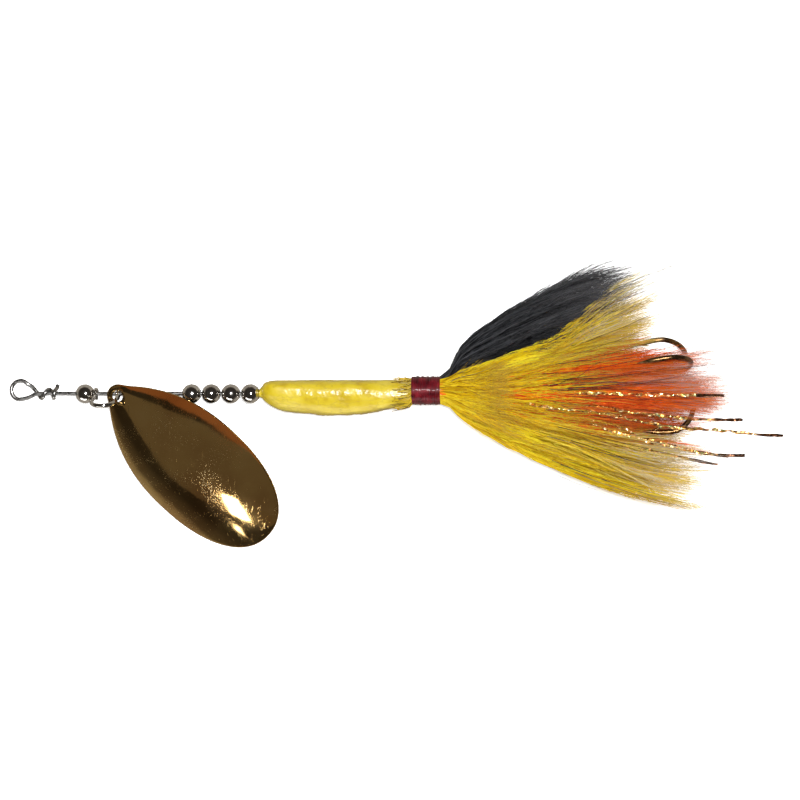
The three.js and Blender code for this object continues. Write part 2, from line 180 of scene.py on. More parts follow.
def smooth_path(points, per):
    """The centripetal Catmull-Rom curve through points, with per steps in each span."""
    p = np.asarray(points, float)
    p = np.vstack([2 * p[0] - p[1], p, 2 * p[-1] - p[-2]])
    out = []
    for i in range(1, len(p) - 2):
        knots = np.cumsum([0, *np.sqrt(np.linalg.norm(np.diff(p[i - 1 : i + 3], axis=0), axis=1))])
        t = np.linspace(knots[1], knots[2], per, endpoint=False)[:, None]

        def mix(a, b, ka, kb):
            return (kb - t) / (kb - ka) * a + (t - ka) / (kb - ka) * b

        a = [mix(p[i - 1 + j], p[i + j], knots[j], knots[j + 1]) for j in range(3)]
        b = [mix(a[j], a[j + 1], knots[j], knots[j + 2]) for j in range(2)]
        out.append(mix(b[0], b[1], knots[1], knots[2]))
    return np.vstack([*out, p[-2:-1]])


def carried_frames(path, first=(0.0, 0.0, 1.0)):
    """Tangent and two cross directions along path, carried on without twist."""
    tangent = unit(np.gradient(path, axis=0))
    normal = np.zeros_like(path)
    n = np.asarray(first, float)
    for i, t in enumerate(tangent):
        n = n - t * (n @ t)
        n = n / max(np.linalg.norm(n), 1e-9)
        normal[i] = n
    return tangent, normal, np.cross(tangent, normal)


END_SHRINK = (1e-3, 0.86)  # each end of a tube closes to its middle through a small rounding


def tube(path, radius, sides=16, section=None, first=(0.0, 0.0, 1.0)):
    """A closed shell swept along path. section gives (normal, binormal) factors of the radius."""
    _, normal, binormal = carried_frames(path, first)
    if section is None:
        a = np.linspace(0, 2 * math.pi, sides, endpoint=False)
        section = np.stack([np.cos(a), np.sin(a)], -1)
    section = np.asarray(section, float)
    radius = np.broadcast_to(np.asarray(radius, float), (len(path),))
    offset = section[None, :, 0, None] * normal[:, None] + section[None, :, 1, None] * binormal[:, None]
    rings = path[:, None] + radius[:, None, None] * offset
    start_cap = [path[0] + (rings[0] - path[0]) * share for share in END_SHRINK]
    end_cap = [path[-1] + (rings[-1] - path[-1]) * share for share in reversed(END_SHRINK)]
    rings = np.concatenate([start_cap, rings, end_cap])
    return rings.reshape(-1, 3), grid_quads(len(rings), len(section))


def turned(profile, sides, centre_y=0.0):
    """A closed ring round the wire from [x, radius] points."""
    profile = np.asarray(profile, float)
    a = np.linspace(0, 360, sides, endpoint=False)
    rings = around(profile[:, None, 0], profile[:, None, 1], a[None])
    rings[..., 1] += np.broadcast_to(centre_y, (len(profile),))[:, None]
    return rings.reshape(-1, 3), grid_quads(len(profile), sides, wrap_rows=True)


def ripple(points, size, seed, octaves=3):
    """A smooth random value near -1 to 1 at each point, with bumps about size across."""
    source = np.random.default_rng(seed)
    total = np.zeros(points.shape[:-1])
    for octave in range(octaves):
        for _ in range(5):
            wave = unit(source.normal(size=3)) * 2 * math.pi / size * 1.9**octave
            total = total + np.sin(points @ wave + source.uniform(0, 6.28)) * 0.6**octave
    return total / 4


# ---------- material helpers ----------


class Nodes:
    """Builds the nodes of a material or world. Node types are written without their ShaderNode prefix."""

    def __init__(self, name, library="materials"):
        self.owner = getattr(bpy.data, library).new(name)
        self.owner.use_nodes = True
        self.tree = self.owner.node_tree
        self.tree.nodes.clear()

    def add(self, kind, settings=None, **inputs):
        """A new node's outputs. Inputs go by name, with _ for a space, or by number, as i0, i1."""
        node = self.tree.nodes.new("ShaderNode" + kind)
        for key, value in (settings or {}).items():
            setattr(node, key, value)
        for key, value in inputs.items():
            numbered = key[0] == "i" and key[1:].isdigit()
            socket = node.inputs[int(key[1:]) if numbered else key.replace("_", " ")]
            if isinstance(value, bpy.types.NodeSocket):
                self.tree.links.new(value, socket)
            else:
                socket.default_value = value
        return node.outputs

    def ramp(self, value, *stops):
        """A colour ramp through (position, colour) stops."""
        outputs = self.add("ValToRGB", Fac=value)
        elements = outputs[0].node.color_ramp.elements
        elements[0].position, elements[0].color = stops[0][0], (*stops[0][1], 1)
        elements[1].position, elements[1].color = stops[-1][0], (*stops[-1][1], 1)
        for position, colour in stops[1:-1]:
            elements.new(position).color = (*colour, 1)
        return outputs[0]

    def span(self, value, low, high, to_low=0.0, to_high=1.0):
        """value, rescaled so that low and high become to_low and to_high, and kept between them."""
        return self.add("MapRange", i0=value, i1=low, i2=high, i3=to_low, i4=to_high)[0]

    def mix(self, factor, a, b, blend="MIX"):
        return self.add("MixRGB", {"blend_type": blend}, Fac=factor, Color1=a, Color2=b)[0]

    def math(self, operation, a, b=0.0):
        return self.add("Math", {"operation": operation}, i0=a, i1=b)[0]

    def times(self, a, b):
        return self.math("MULTIPLY", a, b)

    def noise(self, scale, detail=4.0, stretch=None, turn=0.0):
        place_in = self.add("TexCoord")["Object"]
        if stretch is not None:
            place_in = self.add("Mapping", Vector=place_in, Scale=stretch, Rotation=(0, 0, turn))[0]
        return self.add("TexNoise", Vector=place_in, Scale=scale, Detail=detail)["Fac"]

    def bump(self, height, strength, distance, normal=None):
        extra = {} if normal is None else {"Normal": normal}
        return self.add("Bump", Height=height, Strength=strength, Distance=distance, **extra)[0]

    def principled(self, **inputs):
        return self.finish(self.add("BsdfPrincipled", **inputs)[0])

    def finish(self, shader, output="OutputMaterial"):
        self.add(output, Surface=shader)
        return self.owner


def scratches(nodes, scale, turns):
    """Thin lines running in several directions, 1 on a line and 0 beside it."""
    total = 0.0
    for i, turn in enumerate(turns):
        streaks = nodes.noise(scale * (1 + 0.13 * i), 2.0, (1.0, 0.03, 1.0), turn)
        line = nodes.span(streaks, 0.70, 0.75)
        total = nodes.math("MAXIMUM", total, line)
    return total


def nickel(name, colour, tarnish):
    n = Nodes(name)
    cloud = n.noise(260, 5.0)
    tint = n.ramp(cloud, (0.3, tarnish), (0.62, colour))
    wear = scratches(n, 900, (0.4, 1.9, 2.7))
    rough = n.math("ADD", n.span(cloud, 0.3, 0.75, 0.16, 0.05), n.times(wear, 0.12))
    normal = n.bump(n.noise(1800, 3.0), 0.10, 0.00003)
    normal = n.bump(wear, 0.2, 0.00003, normal)
    return n.principled(Base_Color=tint, Metallic=1.0, Roughness=rough, Normal=normal)


def wire_steel():
    n = Nodes("stainless_spring_wire")
    drawn = n.noise(700, 3.0, (0.05, 1, 1))
    tint = n.ramp(drawn, (0.3, (0.22, 0.215, 0.21)), (0.7, (0.46, 0.45, 0.43)))
    rough = n.span(n.noise(500, 4.0), 0.3, 0.7, 0.2, 0.4)
    normal = n.bump(drawn, 0.25, 0.00005)
    return n.principled(Base_Color=tint, Metallic=1.0, Roughness=rough, Normal=normal)


def gold_plate():
    """Polished brass blade: hair-fine scratches, a worn speckled zone, smudges and small dents."""
    n = Nodes("polished_brass_blade")
    cloud = n.noise(45, 4.0)
    deep, base, bright = (0.50, 0.29, 0.11), (0.68, 0.46, 0.18), (0.78, 0.58, 0.27)
    tint = n.ramp(cloud, (0.3, deep), (0.55, base), (0.75, bright))
    lines = scratches(n, 1300, (0.2, 0.9, 1.35, 2.1, 2.8))
    speckle = n.noise(2600, 4.0)
    worn = n.times(n.span(speckle, 0.59, 0.67), n.span(n.noise(75, 3.0), 0.45, 0.68))
    tint = n.mix(n.times(worn, 0.45), tint, (0.84, 0.78, 0.56, 1))
    rough = n.span(n.noise(150, 5.0), 0.35, 0.75, 0.07, 0.16)
    rough = n.math("ADD", rough, n.times(worn, 0.42))
    rough = n.math("ADD", rough, n.times(lines, 0.18))
    normal = n.bump(n.noise(110, 2.0), 0.12, 0.0004)
    normal = n.bump(n.noise(600, 3.0), 0.10, 0.00008, normal)
    normal = n.bump(lines, 0.30, 0.00003, normal)
    normal = n.bump(worn, 0.5, 0.00003, normal)
    return n.principled(Base_Color=tint, Metallic=1.0, Roughness=rough, Normal=normal)


def bronze():
    n = Nodes("bronzed_hook_steel")
    cloud = n.noise(350, 5.0)
    dark, brown, bright = (0.05, 0.025, 0.012), (0.16, 0.085, 0.03), (0.30, 0.18, 0.07)
    tint = n.ramp(cloud, (0.3, dark), (0.55, brown), (0.75, bright))
    rough = n.span(cloud, 0.3, 0.8, 0.22, 0.38)
    normal = n.bump(n.noise(1300, 4.0), 0.25, 0.00005)
    return n.principled(Base_Color=tint, Metallic=0.9, Roughness=rough, Normal=normal)


def yellow_paint():
    """Thick dipped paint over rough lead: crinkled skin with painted shade in its creases, painted shade
    along both edges, a soft clear coat.
    """
    n = Nodes("dipped_yellow_paint")
    cloud = n.noise(160, 5.0)
    deep, base, fresh = (0.38, 0.25, 0.004), (0.52, 0.385, 0.008), (0.60, 0.47, 0.03)
    tint = n.ramp(cloud, (0.28, deep), (0.45, base), (0.7, fresh))
    # painted shade: where the skin faces -y, toward the keel, it is painted dark brown, and where it faces
    # +y it is painted a little darker, both in uneven patches
    sideways = n.add("SeparateXYZ", Vector=n.add("TexCoord")["Normal"])["Y"]
    shade_patches = n.noise(260, 4.0, (0.5, 1, 1))
    lower = n.times(n.span(sideways, -0.66, -0.95), n.span(shade_patches, 0.25, 0.6, 0.55, 1.0))
    upper = n.times(n.span(sideways, 0.55, 0.98), n.span(shade_patches, 0.3, 0.7, 0.25, 0.6))
    tint = n.mix(upper, tint, (0.34, 0.26, 0.02, 1))
    tint = n.mix(n.times(lower, 0.8), tint, (0.10, 0.06, 0.012, 1))
    dirt = n.times(n.span(n.noise(900, 6.0), 0.64, 0.72), n.span(n.noise(120, 2.0), 0.45, 0.6))
    tint = n.mix(n.times(dirt, 0.7), tint, (0.22, 0.15, 0.02, 1))
    crinkle = n.noise(780, 4.0, (0.45, 1, 1))
    # painted shade in the creases: the tint darkens along thin crease lines, which the bump also dents
    off_middle = n.math("SUBTRACT", n.noise(330, 3.0, (0.4, 1, 1)), 0.5)
    creases = n.span(n.math("ABSOLUTE", off_middle), 0.0, 0.03, 1.0, 0.0)
    tint = n.mix(n.times(creases, 0.35), tint, (0.30, 0.20, 0.01, 1))
    normal = n.bump(crinkle, 0.5, 0.00016)
    normal = n.bump(creases, 0.35, 0.00008, normal)
    return n.principled(
        Base_Color=tint,
        Roughness=n.span(cloud, 0.3, 0.7, 0.36, 0.5),
        Normal=normal,
        Coat_Weight=0.4,
        Coat_Roughness=0.26,
        Coat_Normal=n.bump(crinkle, 0.6, 0.00018),
        Subsurface_Weight=0.06,
        Subsurface_Radius=(0.001, 0.0006, 0.0002),
    )


def red_thread():
    n = Nodes("lacquered_red_thread")
    cloud = n.noise(500, 4.0)
    dark, base, bright = (0.025, 0.001, 0.003), (0.12, 0.003, 0.008), (0.24, 0.012, 0.022)
    tint = n.ramp(cloud, (0.3, dark), (0.55, base), (0.8, bright))
    fibre = n.noise(2600, 3.0, (1, 0.2, 0.2))
    return n.principled(
        Base_Color=tint,
        Roughness=n.span(cloud, 0.3, 0.7, 0.3, 0.5),
        Normal=n.bump(fibre, 0.3, 0.00006),
        Coat_Weight=0.5,
        Coat_Roughness=0.1,
        Specular_IOR_Level=0.3,
    )


def hair(name, roughness, glow):
    """Dyed deer hair: its dye comes from the tint attribute, and thin makes the tips see-through."""
    n = Nodes(name)
    tint = n.add("Attribute", {"attribute_name": "tint"})["Color"]
    thin = n.add("Attribute", {"attribute_name": "thin"})["Fac"]
    streak = n.noise(520, 4.0, (0.25, 1, 1))
    dull = n.mix(1.0, tint, (0.74, 0.66, 0.55, 1), "MULTIPLY")
    dye = n.mix(n.span(streak, 0.3, 0.75, 0.0, 0.5), tint, dull)
    normal = n.bump(n.noise(3000, 3.0, (0.3, 1, 1)), 0.3, 0.00004)
    rough = n.span(streak, 0.3, 0.7, roughness - 0.08, roughness + 0.08)
    surface = {"Base_Color": dye, "Roughness": rough, "Normal": normal, "Specular_IOR_Level": 0.22}
    solid = n.add("BsdfPrincipled", **surface)[0]
    lit = n.add("BsdfTranslucent", Color=dye, Normal=normal)[0]
    body = n.add("MixShader", Fac=glow, i1=solid, i2=lit)[0]
    clear = n.add("BsdfTransparent")[0]
    return n.finish(n.add("MixShader", Fac=thin, i1=body, i2=clear)[0])


def tinsel():
    """Holographic gold tinsel: small facets in gold, orange, green and pale, the palest glowing as a
    painted glint, browned at the tip.
    """
    n = Nodes("holographic_gold_tinsel")
    thin = n.add("Attribute", {"attribute_name": "thin"})["Fac"]
    place_in = n.add("TexCoord")["Object"]
    facet = n.add("TexVoronoi", {"feature": "F1"}, Vector=place_in, Scale=1500.0, Randomness=1.0)
    hue = n.add("SeparateColor", Color=facet["Color"])["Red"]
    tint = n.ramp(
        hue,
        (0.0, (0.10, 0.035, 0.01)),
        (0.3, (0.55, 0.22, 0.05)),
        (0.5, (0.95, 0.62, 0.16)),
        (0.66, (0.9, 0.30, 0.05)),
        (0.8, (0.98, 0.86, 0.42)),
        (0.9, (0.45, 0.62, 0.16)),
        (1.0, (1.0, 0.95, 0.8)),
    )
    # painted glint: the palest facets glow with emission, except on the worn tip
    glint = n.span(hue, 0.93, 0.99, 0.0, 1.2)
    return n.principled(
        Base_Color=n.mix(thin, tint, (0.075, 0.03, 0.012, 1)),
        Metallic=0.85,
        Roughness=n.span(hue, 0.0, 1.0, 0.45, 0.2),
        Normal=n.bump(facet["Distance"], 0.5, 0.0002),
        Emission_Color=(1.0, 0.8, 0.4, 1),
        Emission_Strength=n.times(glint, n.span(thin, 0.2, 0.8, 1.0, 0.0)),
    )


def pale_floor():
    n = Nodes("pale_surface")
    cloud = n.noise(6, 3.0)
    tint = n.ramp(cloud, (0.3, (0.93, 0.93, 0.93)), (0.7, (0.97, 0.97, 0.97)))
    return n.principled(
        Base_Color=n.mix(n.add("LightPath")["Is Glossy Ray"], tint, (0.25, 0.23, 0.20, 1)),
        Roughness=0.9,
        Specular_IOR_Level=0.0,
        Emission_Color=(1, 1, 1, 1),
        Emission_Strength=n.span(n.add("LightPath")["Is Camera Ray"], 0.0, 1.0, 0.0, 0.6),
    )


NICKEL = nickel("nickel_plated_bead", (0.80, 0.77, 0.73), (0.62, 0.59, 0.55))
NICKEL_CLEVIS = nickel("nickel_plated_clevis", (0.78, 0.76, 0.72), (0.50, 0.47, 0.42))
NICKEL_RING = nickel("nickel_plated_ring", (0.74, 0.72, 0.68), (0.46, 0.42, 0.37))
STEEL = wire_steel()
GOLD = gold_plate()
BRONZE = bronze()
PAINT = yellow_paint()
THREAD = red_thread()
TINSEL = tinsel()
YELLOW_HAIR = hair("dyed_yellow_bucktail", 0.5, 0.34)
ORANGE_HAIR = hair("dyed_orange_bucktail", 0.5, 0.28)
BLACK_HAIR = hair("dyed_black_bucktail", 0.36, 0.02)
PALE_HAIR = hair("undyed_bucktail_tips", 0.5, 0.4)


def stand_for(obj, body, node):
    """The piece rides on a body and replaces a CAD node."""
    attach(obj, body)
    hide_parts(node)


def make_piece(name, shell, material, body, node):
    """One visible piece from (vertices in mm, quads)."""
    obj = new_mesh(name, place(shell[0]), shell[1])
    obj.data.materials.append(material)
    stand_for(obj, body, node)
    return obj


# ---------- wire shaft ----------

WRAP_R = 1.45
EYE = {"x": -123.75, "y": 1.2, "r": 3.12}
REAR_EYE = {"x": 40.0, "r": 2.4}
REAR_WRAPS = {"start": 33.4, "length": 3.4}
FRONT_WRAPS = {"start": -118.25, "pitch": 6.6, "tighten": 1.72}


def wire_shaft():
    """One wire: rear wraps, rear eye, straight shaft, line eye, front wraps and the cut tag."""
    points = []
    for i in range(17):
        x = REAR_WRAPS["start"] + REAR_WRAPS["length"] * i / 16
        points.append(around(x, WRAP_R, 270 + 45 * i - 720))
    points += [(37.6, 1.1, -1.1), (38.6, 1.95, -0.35)]
    for i in range(9):
        a = math.radians(90 - 215 * i / 8)
        points.append((REAR_EYE["x"] + REAR_EYE["r"] * math.cos(a), REAR_EYE["r"] * math.sin(a), 0))
    points += [(37.2, -0.7, 0), (35.8, -0.05, 0), (34, 0, 0), (15, 0, 0), (-45, 0, 0), (-100, 0, 0)]
    points += [(-117.4, 0, 0), (-119.2, -0.3, 0), (-121, -1.2, 0)]
    for i in range(10):
        a = math.radians(-105 - 215 * i / 9)
        points.append((EYE["x"] + EYE["r"] * math.cos(a), EYE["y"] + EYE["r"] * math.sin(a), 0))
    points += [(-120.2, 2.5, -0.5), (-119.2, 1.3, -1.1)]
    for i in range(15):
        turns = i / 8
        x = FRONT_WRAPS["start"] + FRONT_WRAPS["pitch"] * turns - FRONT_WRAPS["tighten"] * turns**2
        points.append(around(x, WRAP_R, -90 - 360 * turns))
    points += [(-111.7, 2.0, -0.75), (-111.6, 2.9, -1.1)]
    return tube(smooth_path(points, 8), WIRE_R, 20)


make_piece("wire_shaft_fine", wire_shaft(), STEEL, "lure", "wire_shaft")

# ---------- beads ----------


def bead(x, seed):
    """A round bead with a rolled lip at each end of its bore and slightly dented skin."""
    start = math.asin(LIP_R / BEAD_R)
    arc = np.linspace(math.pi - start, start, 44)
    profile = [(BEAD_R * math.cos(a), BEAD_R * math.sin(a)) for a in arc]
    end = BEAD_R * math.cos(start)
    lip = [(end + 0.02, 1.12), (end - 0.02, 1.0), (end - 0.16, BEAD_BORE)]
    profile = profile + lip + [(-px, pr) for px, pr in reversed(lip)]
    vertices, quads = turned(profile, 72)
    vertices = vertices + unit(vertices) * 0.012 * ripple(vertices, 3.0, seed)[:, None]
    vertices[:, 0] += x
    return vertices, quads


def snapped(obj, node):
    """Moves a fine piece by the little that its box's middle differs from its CAD node's."""
    low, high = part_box(node)
    co = np.zeros(len(obj.data.vertices) * 3, np.float32)
    obj.data.vertices.foreach_get("co", co)
    co = co.reshape(-1, 3)
    middle = (co.min(0) + co.max(0)) / 2
    co += (np.array(low) + np.array(high)) / 2 - middle
    obj.data.vertices.foreach_set("co", co.ravel())
    obj.data.update()


FRONT_BEAD_X = -102.2
BEADS = [("front_bead", FRONT_BEAD_X)]
BEADS += [(f"bead_{i + 1}", REAR_BEAD_X + BEAD_PITCH * i) for i in range(4)]
for seed, (node, x) in enumerate(BEADS):
    bead_piece = make_piece(node + "_fine", bead(x, seed), NICKEL, node, node)
    snapped(bead_piece, node)

# ---------- clevis ----------

CLEVIS = {"x": -94.8, "half": 3.7, "straight": 7.3, "lean": 21.0, "bar": 0.86 * 0.9}
CLEVIS |= {"ear": 2.1, "bore": 0.85, "thick": 0.42}


def half_round(steps=24):
    """The section of the clevis bar: flat on the inside of the bow, rounded outside."""
    angles = np.linspace(0, 2 * math.pi, steps, endpoint=False)
    return [(math.sin(a), math.cos(a) * (1.0 if math.cos(a) > 0 else 0.45)) for a in angles]


def clevis_ear(side):
    """A drilled ear of the clevis, turned round the wire and then crumpled a little."""
    ear, bore, thick = CLEVIS["ear"], CLEVIS["bore"], CLEVIS["thick"]
    profile = [(-thick, bore), (-thick, ear - 0.3), (-thick * 0.6, ear - 0.06), (0, ear)]
    profile += [(thick * 0.6, ear - 0.06), (thick, ear - 0.3), (thick, bore)]
    vertices, quads = turned(profile, 48)
    angle = np.arctan2(vertices[:, 2], vertices[:, 1])
    crumple = 0.22 * np.sin(3 * angle + side) * (np.hypot(vertices[:, 1], vertices[:, 2]) / ear) ** 2
    vertices[:, 0] += crumple + side * CLEVIS["half"]
    vertices[:, 2] += 0.12 * np.sin(5 * angle + 2 * side)
    return vertices, quads


def clevis():
    """A stirrup of half-round bar whose two drilled ears are pinched flat."""
    half, straight = CLEVIS["half"], CLEVIS["straight"]
    points = [(-half, 0, 1.5), (-half, 0, 3.5), (-half, 0, straight)]
    for i in range(1, 10):
        a = math.pi * (1 - i / 10)
        points.append((half * math.cos(a), 0, straight + half * math.sin(a)))
    points += [(half, 0, straight), (half, 0, 3.5), (half, 0, 1.5)]
    bow = tube(smooth_path(points, 8), CLEVIS["bar"], section=half_round(), first=(0.0, 1.0, 0.0))
    vertices, quads = join([bow, clevis_ear(-1), clevis_ear(1)])
    vertices = rotated(vertices, "x", math.radians(CLEVIS["lean"]))
    vertices[:, 0] += CLEVIS["x"]
    return vertices, quads


make_piece("clevis_fine", clevis(), NICKEL_CLEVIS, "clevis", "clevis")

# ---------- blade ----------

BLADE = {"length": 71.4, "width": 35.6, "thickness": 0.85, "dish": 6.0, "widest": 0.56}
BLADE |= {"lug": 3.8, "hole": 1.8}
BLADE_TURN = {"x": 11.8, "y": 2.9, "z": -43.3}  # degrees about each axis, in this order


def blade_share(s):
    """How far along each half s lies, 0 at the widest place and 1 at the end, and which half it is in."""
    t = (s + BLADE["lug"]) / BLADE["length"]
    widest = BLADE["widest"]
    share = np.where(t > widest, (t - widest) / (1 - widest), (widest - t) / widest)
    return np.clip(share, 0, 1), t > widest


def blade_half_width(s):
    """The outline: a blunt far half, a tapered near half, and a round lug about the hole."""
    u, far_half = blade_share(s)
    leaf = np.where(far_half, (1 - u**2.2) ** (1 / 2.2), (1 - u**2.3) ** 0.87)
    lug = np.where(s < BLADE["lug"], np.sqrt(np.maximum(0, BLADE["lug"] ** 2 - s**2)), 0)
    return ((BLADE["width"] / 2 * leaf) ** 7 + lug**7) ** (1 / 7)


def blade_height(s, v):
    u, _ = blade_share(s)
    w = np.maximum(blade_half_width(s), 1e-6)
    return BLADE["dish"] * (1 - u**2) * np.maximum(0, 1 - (v / w) ** 2)


def blade():
    """A dished leaf of sheet brass with a rolled rim and a punched hole, in its own frame in mm."""
    sides, rings = 360, 70
    edge = BLADE["thickness"] / 2
    a = np.linspace(0, 2 * math.pi, sides, endpoint=False)
    s = -BLADE["lug"] + BLADE["length"] * (1 + np.cos(a)) / 2
    rim = np.stack([s, np.sign(np.sin(a)) * blade_half_width(s)], -1)
    rim[[0, sides // 2], 1] = 0
    along = np.roll(rim, -1, 0) - np.roll(rim, 1, 0)
    outward = unit(np.stack([along[:, 1], -along[:, 0]], -1))
    inner_rim = rim - outward * edge
    hole_way = np.stack([np.cos(a), np.sin(a)], -1)
    inner_hole = hole_way * (BLADE["hole"] + edge)
    loops = []

    def add_loop(flat, height):
        z = blade_height(flat[:, 0], flat[:, 1]) + height
        loops.append(np.column_stack([flat, z]))

    half_turn = np.linspace(math.pi / 2, -math.pi / 2, 9)
    for share in np.linspace(0, 1, rings) ** 0.9:
        add_loop(inner_hole + (inner_rim - inner_hole) * share, edge)
    for q in half_turn[1:-1]:
        add_loop(inner_rim + outward * edge * math.cos(q), edge * math.sin(q))
    for share in 1 - np.linspace(0, 1, rings) ** 0.9:
        add_loop(inner_hole + (inner_rim - inner_hole) * share, -edge)
    for q in -half_turn[1:-1]:
        add_loop(inner_hole - hole_way * edge * math.cos(q), edge * math.sin(q))
    vertices = np.concatenate(loops)
    reach = np.hypot(vertices[:, 0], vertices[:, 1])
    # the punched hole leaves a low raised ring, and hammering left the skin not quite even
    vertices[:, 2] += 0.07 * np.exp(-(((reach - BLADE["hole"] - 0.55) / 0.3) ** 2))
    vertices[:, 2] += 0.03 * ripple(vertices, 19.0, 5)
    return vertices, grid_quads(len(loops), sides, wrap_rows=True)[:, ::-1]


def blade_in_model(vertices):
    """The blade turned to its place's slant, in metres; snapped() then moves it there."""
    for axis, degrees in BLADE_TURN.items():
        vertices = rotated(vertices, axis, math.radians(degrees))
    return vertices * MM


blade_vertices, blade_quads = blade()
blade_piece = new_mesh("spinner_blade_fine", blade_in_model(blade_vertices), blade_quads)
blade_piece.data.materials.append(GOLD)
snapped(blade_piece, "spinner_blade")
stand_for(blade_piece, "blade", "spinner_blade")

# ---------- lead body ----------


def curve_through(pairs):
    """A smooth value along x through [x, value] pairs."""
    xs, values = np.array(pairs, float).T
    slopes = np.gradient(values, xs)

    def value(x):
        x = np.clip(x, xs[0], xs[-1])
        i = np.clip(np.searchsorted(xs, x) - 1, 0, len(xs) - 2)
        step = xs[i + 1] - xs[i]
        t = (x - xs[i]) / step
        return (
            (2 * t**3 - 3 * t**2 + 1) * values[i]
            + (t**3 - 2 * t**2 + t) * step * slopes[i]
            + (3 * t**2 - 2 * t**3) * values[i + 1]
            + (t**3 - t**2) * step * slopes[i + 1]
        )

    return value


BODY_NOSE, BODY_TAIL = -43.4, 4.9
BODY_BORE = 0.86
KEEL_SKEW = 0.33  # the body is fullest beside the wire and thinner at its keel
COLLAR = {"r": 2.8, "end": 15.3, "side": 1.0}
# how far the body's skin lies from the wire, as [x, distance]: at +y, at -y (its keel), and up or down
TOP = [[-43.4, 2.4], [-42.7, 3.4], [-41.3, 4.1], [-39, 4.45], [-37, 4.5], [-35, 4.5]]
TOP += [[-3, 4.5], [0, 4.5], [4.9, 4.3]]
BOTTOM = [[-43.4, 1.4], [-42.7, 2.3], [-41.3, 3.5], [-39, 4.8], [-36.8, 5.7], [-33, 6.2], [-28, 6.6]]
BOTTOM += [[-23, 7.2], [-18, 7.1], [-9, 6.6], [-4.4, 5.7], [0.3, 4.8], [4.9, 3.9]]
HALF = [[-43.4, 1.9], [-42.7, 2.9], [-41.3, 3.9], [-39, 4.6], [-36, 4.85], [-33, 4.9]]
HALF += [[-6, 4.8], [-3, 4.75], [4.9, 4.2]]
body_top, body_bottom, body_half = curve_through(TOP), curve_through(BOTTOM), curve_through(HALF)


def body_skin(x, degrees, offset=0.0):
    top, bottom, half = body_top(x), body_bottom(x), body_half(x)
    a = np.radians(degrees)
    skewed = a + KEEL_SKEW * (1 - smoothstep(x, -12, -3)) * np.sin(a)
    y = (top - bottom) / 2 + ((top + bottom) / 2 + offset) * np.cos(a)
    x, y, z = np.broadcast_arrays(x, y, (half + offset) * np.sin(skewed))
    return np.stack([x, y, z], -1)


# the paint drew back round the wire at the nose: (distance before the nose, radius, sideways)
NOSE_RINGS = [(0.5, BODY_BORE, 0), (0.85, 1.05, 0), (0.8, 1.35, 0.1), (0.45, 1.6, 0.3)]
# the tail steps down to the collar, and the bore closes the shell: (x, radius, sideways)
TAIL_RINGS = [(5.3, 3.6, COLLAR["side"] * 0.6), (5.5, 2.8, COLLAR["side"] * 0.6)]
TAIL_RINGS += [(x, COLLAR["r"], COLLAR["side"]) for x in (7.0, 15.0, COLLAR["end"])]
TAIL_RINGS += [(COLLAR["end"], BODY_BORE, 0), (0.0, BODY_BORE, 0)]


def ring_at(x, radius, side, degrees):
    return around(x, radius, degrees) + np.array([0, side, 0])


def lead_body():
    """The painted body: a keel moulding with soft dents, runs of paint and a lumpy lower edge."""
    sides, rings = 160, 330
    xs = BODY_NOSE + (BODY_TAIL - BODY_NOSE) * np.linspace(0, 1, rings) ** 1.15
    degrees = np.linspace(0, 360, sides, endpoint=False)
    skin = body_skin(xs[:, None], degrees[None])
    out = unit(skin * np.array([0, 1, 1]))
    stretched = skin * np.array([0.45, 1, 1])
    lumps = 0.10 * ripple(stretched, 7.0, 21) + 0.045 * ripple(stretched, 2.2, 22)
    # paint has crinkled along the upper side, and the keel at the lower edge is lumpy
    ridge = np.exp(-(((degrees[None] - 78) / 16) ** 2)) * smoothstep(xs[:, None], -40, -30)
    lumps = lumps + 0.10 * ridge * ripple(skin * np.array([1, 0.6, 1]), 3.0, 23)
    keel = np.exp(-(((degrees[None] - 182) / 26) ** 2)) * smoothstep(xs[:, None], -34, -26)
    lumps = lumps + 0.16 * keel * ripple(skin * np.array([1.1, 0, 0]), 6.0, 24)
    skin = skin + out * lumps[..., None]
    nose = [ring_at(BODY_NOSE - push, r, side, degrees) for push, r, side in NOSE_RINGS]
    tail = [ring_at(x, r, side, degrees) for x, r, side in TAIL_RINGS]
    rings_all = np.concatenate([nose, skin, tail])
    return rings_all.reshape(-1, 3), grid_quads(len(rings_all), sides, wrap_rows=True)


make_piece("lead_body_fine", lead_body(), PAINT, "lure", "lead_body")

# ---------- thread ----------

WRAP = {"start": 5.9, "end": 15.3, "outer": 4.7, "thread": 0.19}


def thread_turns(turns, radius, first, last):
    """One length of thread wound round the collar, a little uneven, its ends tucked in."""
    t = np.linspace(0, 1, int(turns * 40))
    wander = 0.07 * np.sin(t * turns * 1.7 + 1) + 0.05 * np.sin(t * turns * 4.1)
    slack = 0.06 * np.sin(t * turns * 2.3) - 0.22 * np.exp(-((np.minimum(t, 1 - t) / 0.02) ** 2))
    path = around(first + (last - first) * t + wander, radius + slack, 360 * turns * t)
    path[:, 1] += COLLAR["side"]
    return tube(path, WRAP["thread"], 6, first=(1.0, 0.0, 0.0))


def thread_wrap():
    """Close turns of thread over a bed of earlier turns, with a few that cross back."""
    start, end, outer = WRAP["start"], WRAP["end"], WRAP["outer"]
    bed = [(start, 4.0), (start, outer - 0.5), (start + 0.4, outer - 0.28)]
    bed += [(end - 0.4, outer - 0.28), (end, outer - 0.5), (end, 4.0)]
    close_turns = thread_turns(34, outer - 0.2, start, end)
    crossing_turns = thread_turns(4.6, outer, end - 0.7, start + 0.9)
    return join([turned(bed, 64, COLLAR["side"]), close_turns, crossing_turns])


make_piece("thread_wrap_fine", thread_wrap(), THREAD, "lure", "thread_wrap")

# ---------- split ring ----------

SPLIT_RING = {"x": 44.7, "r": 3.65, "wire": 0.34, "gap": 0.9, "roll": -9.0}


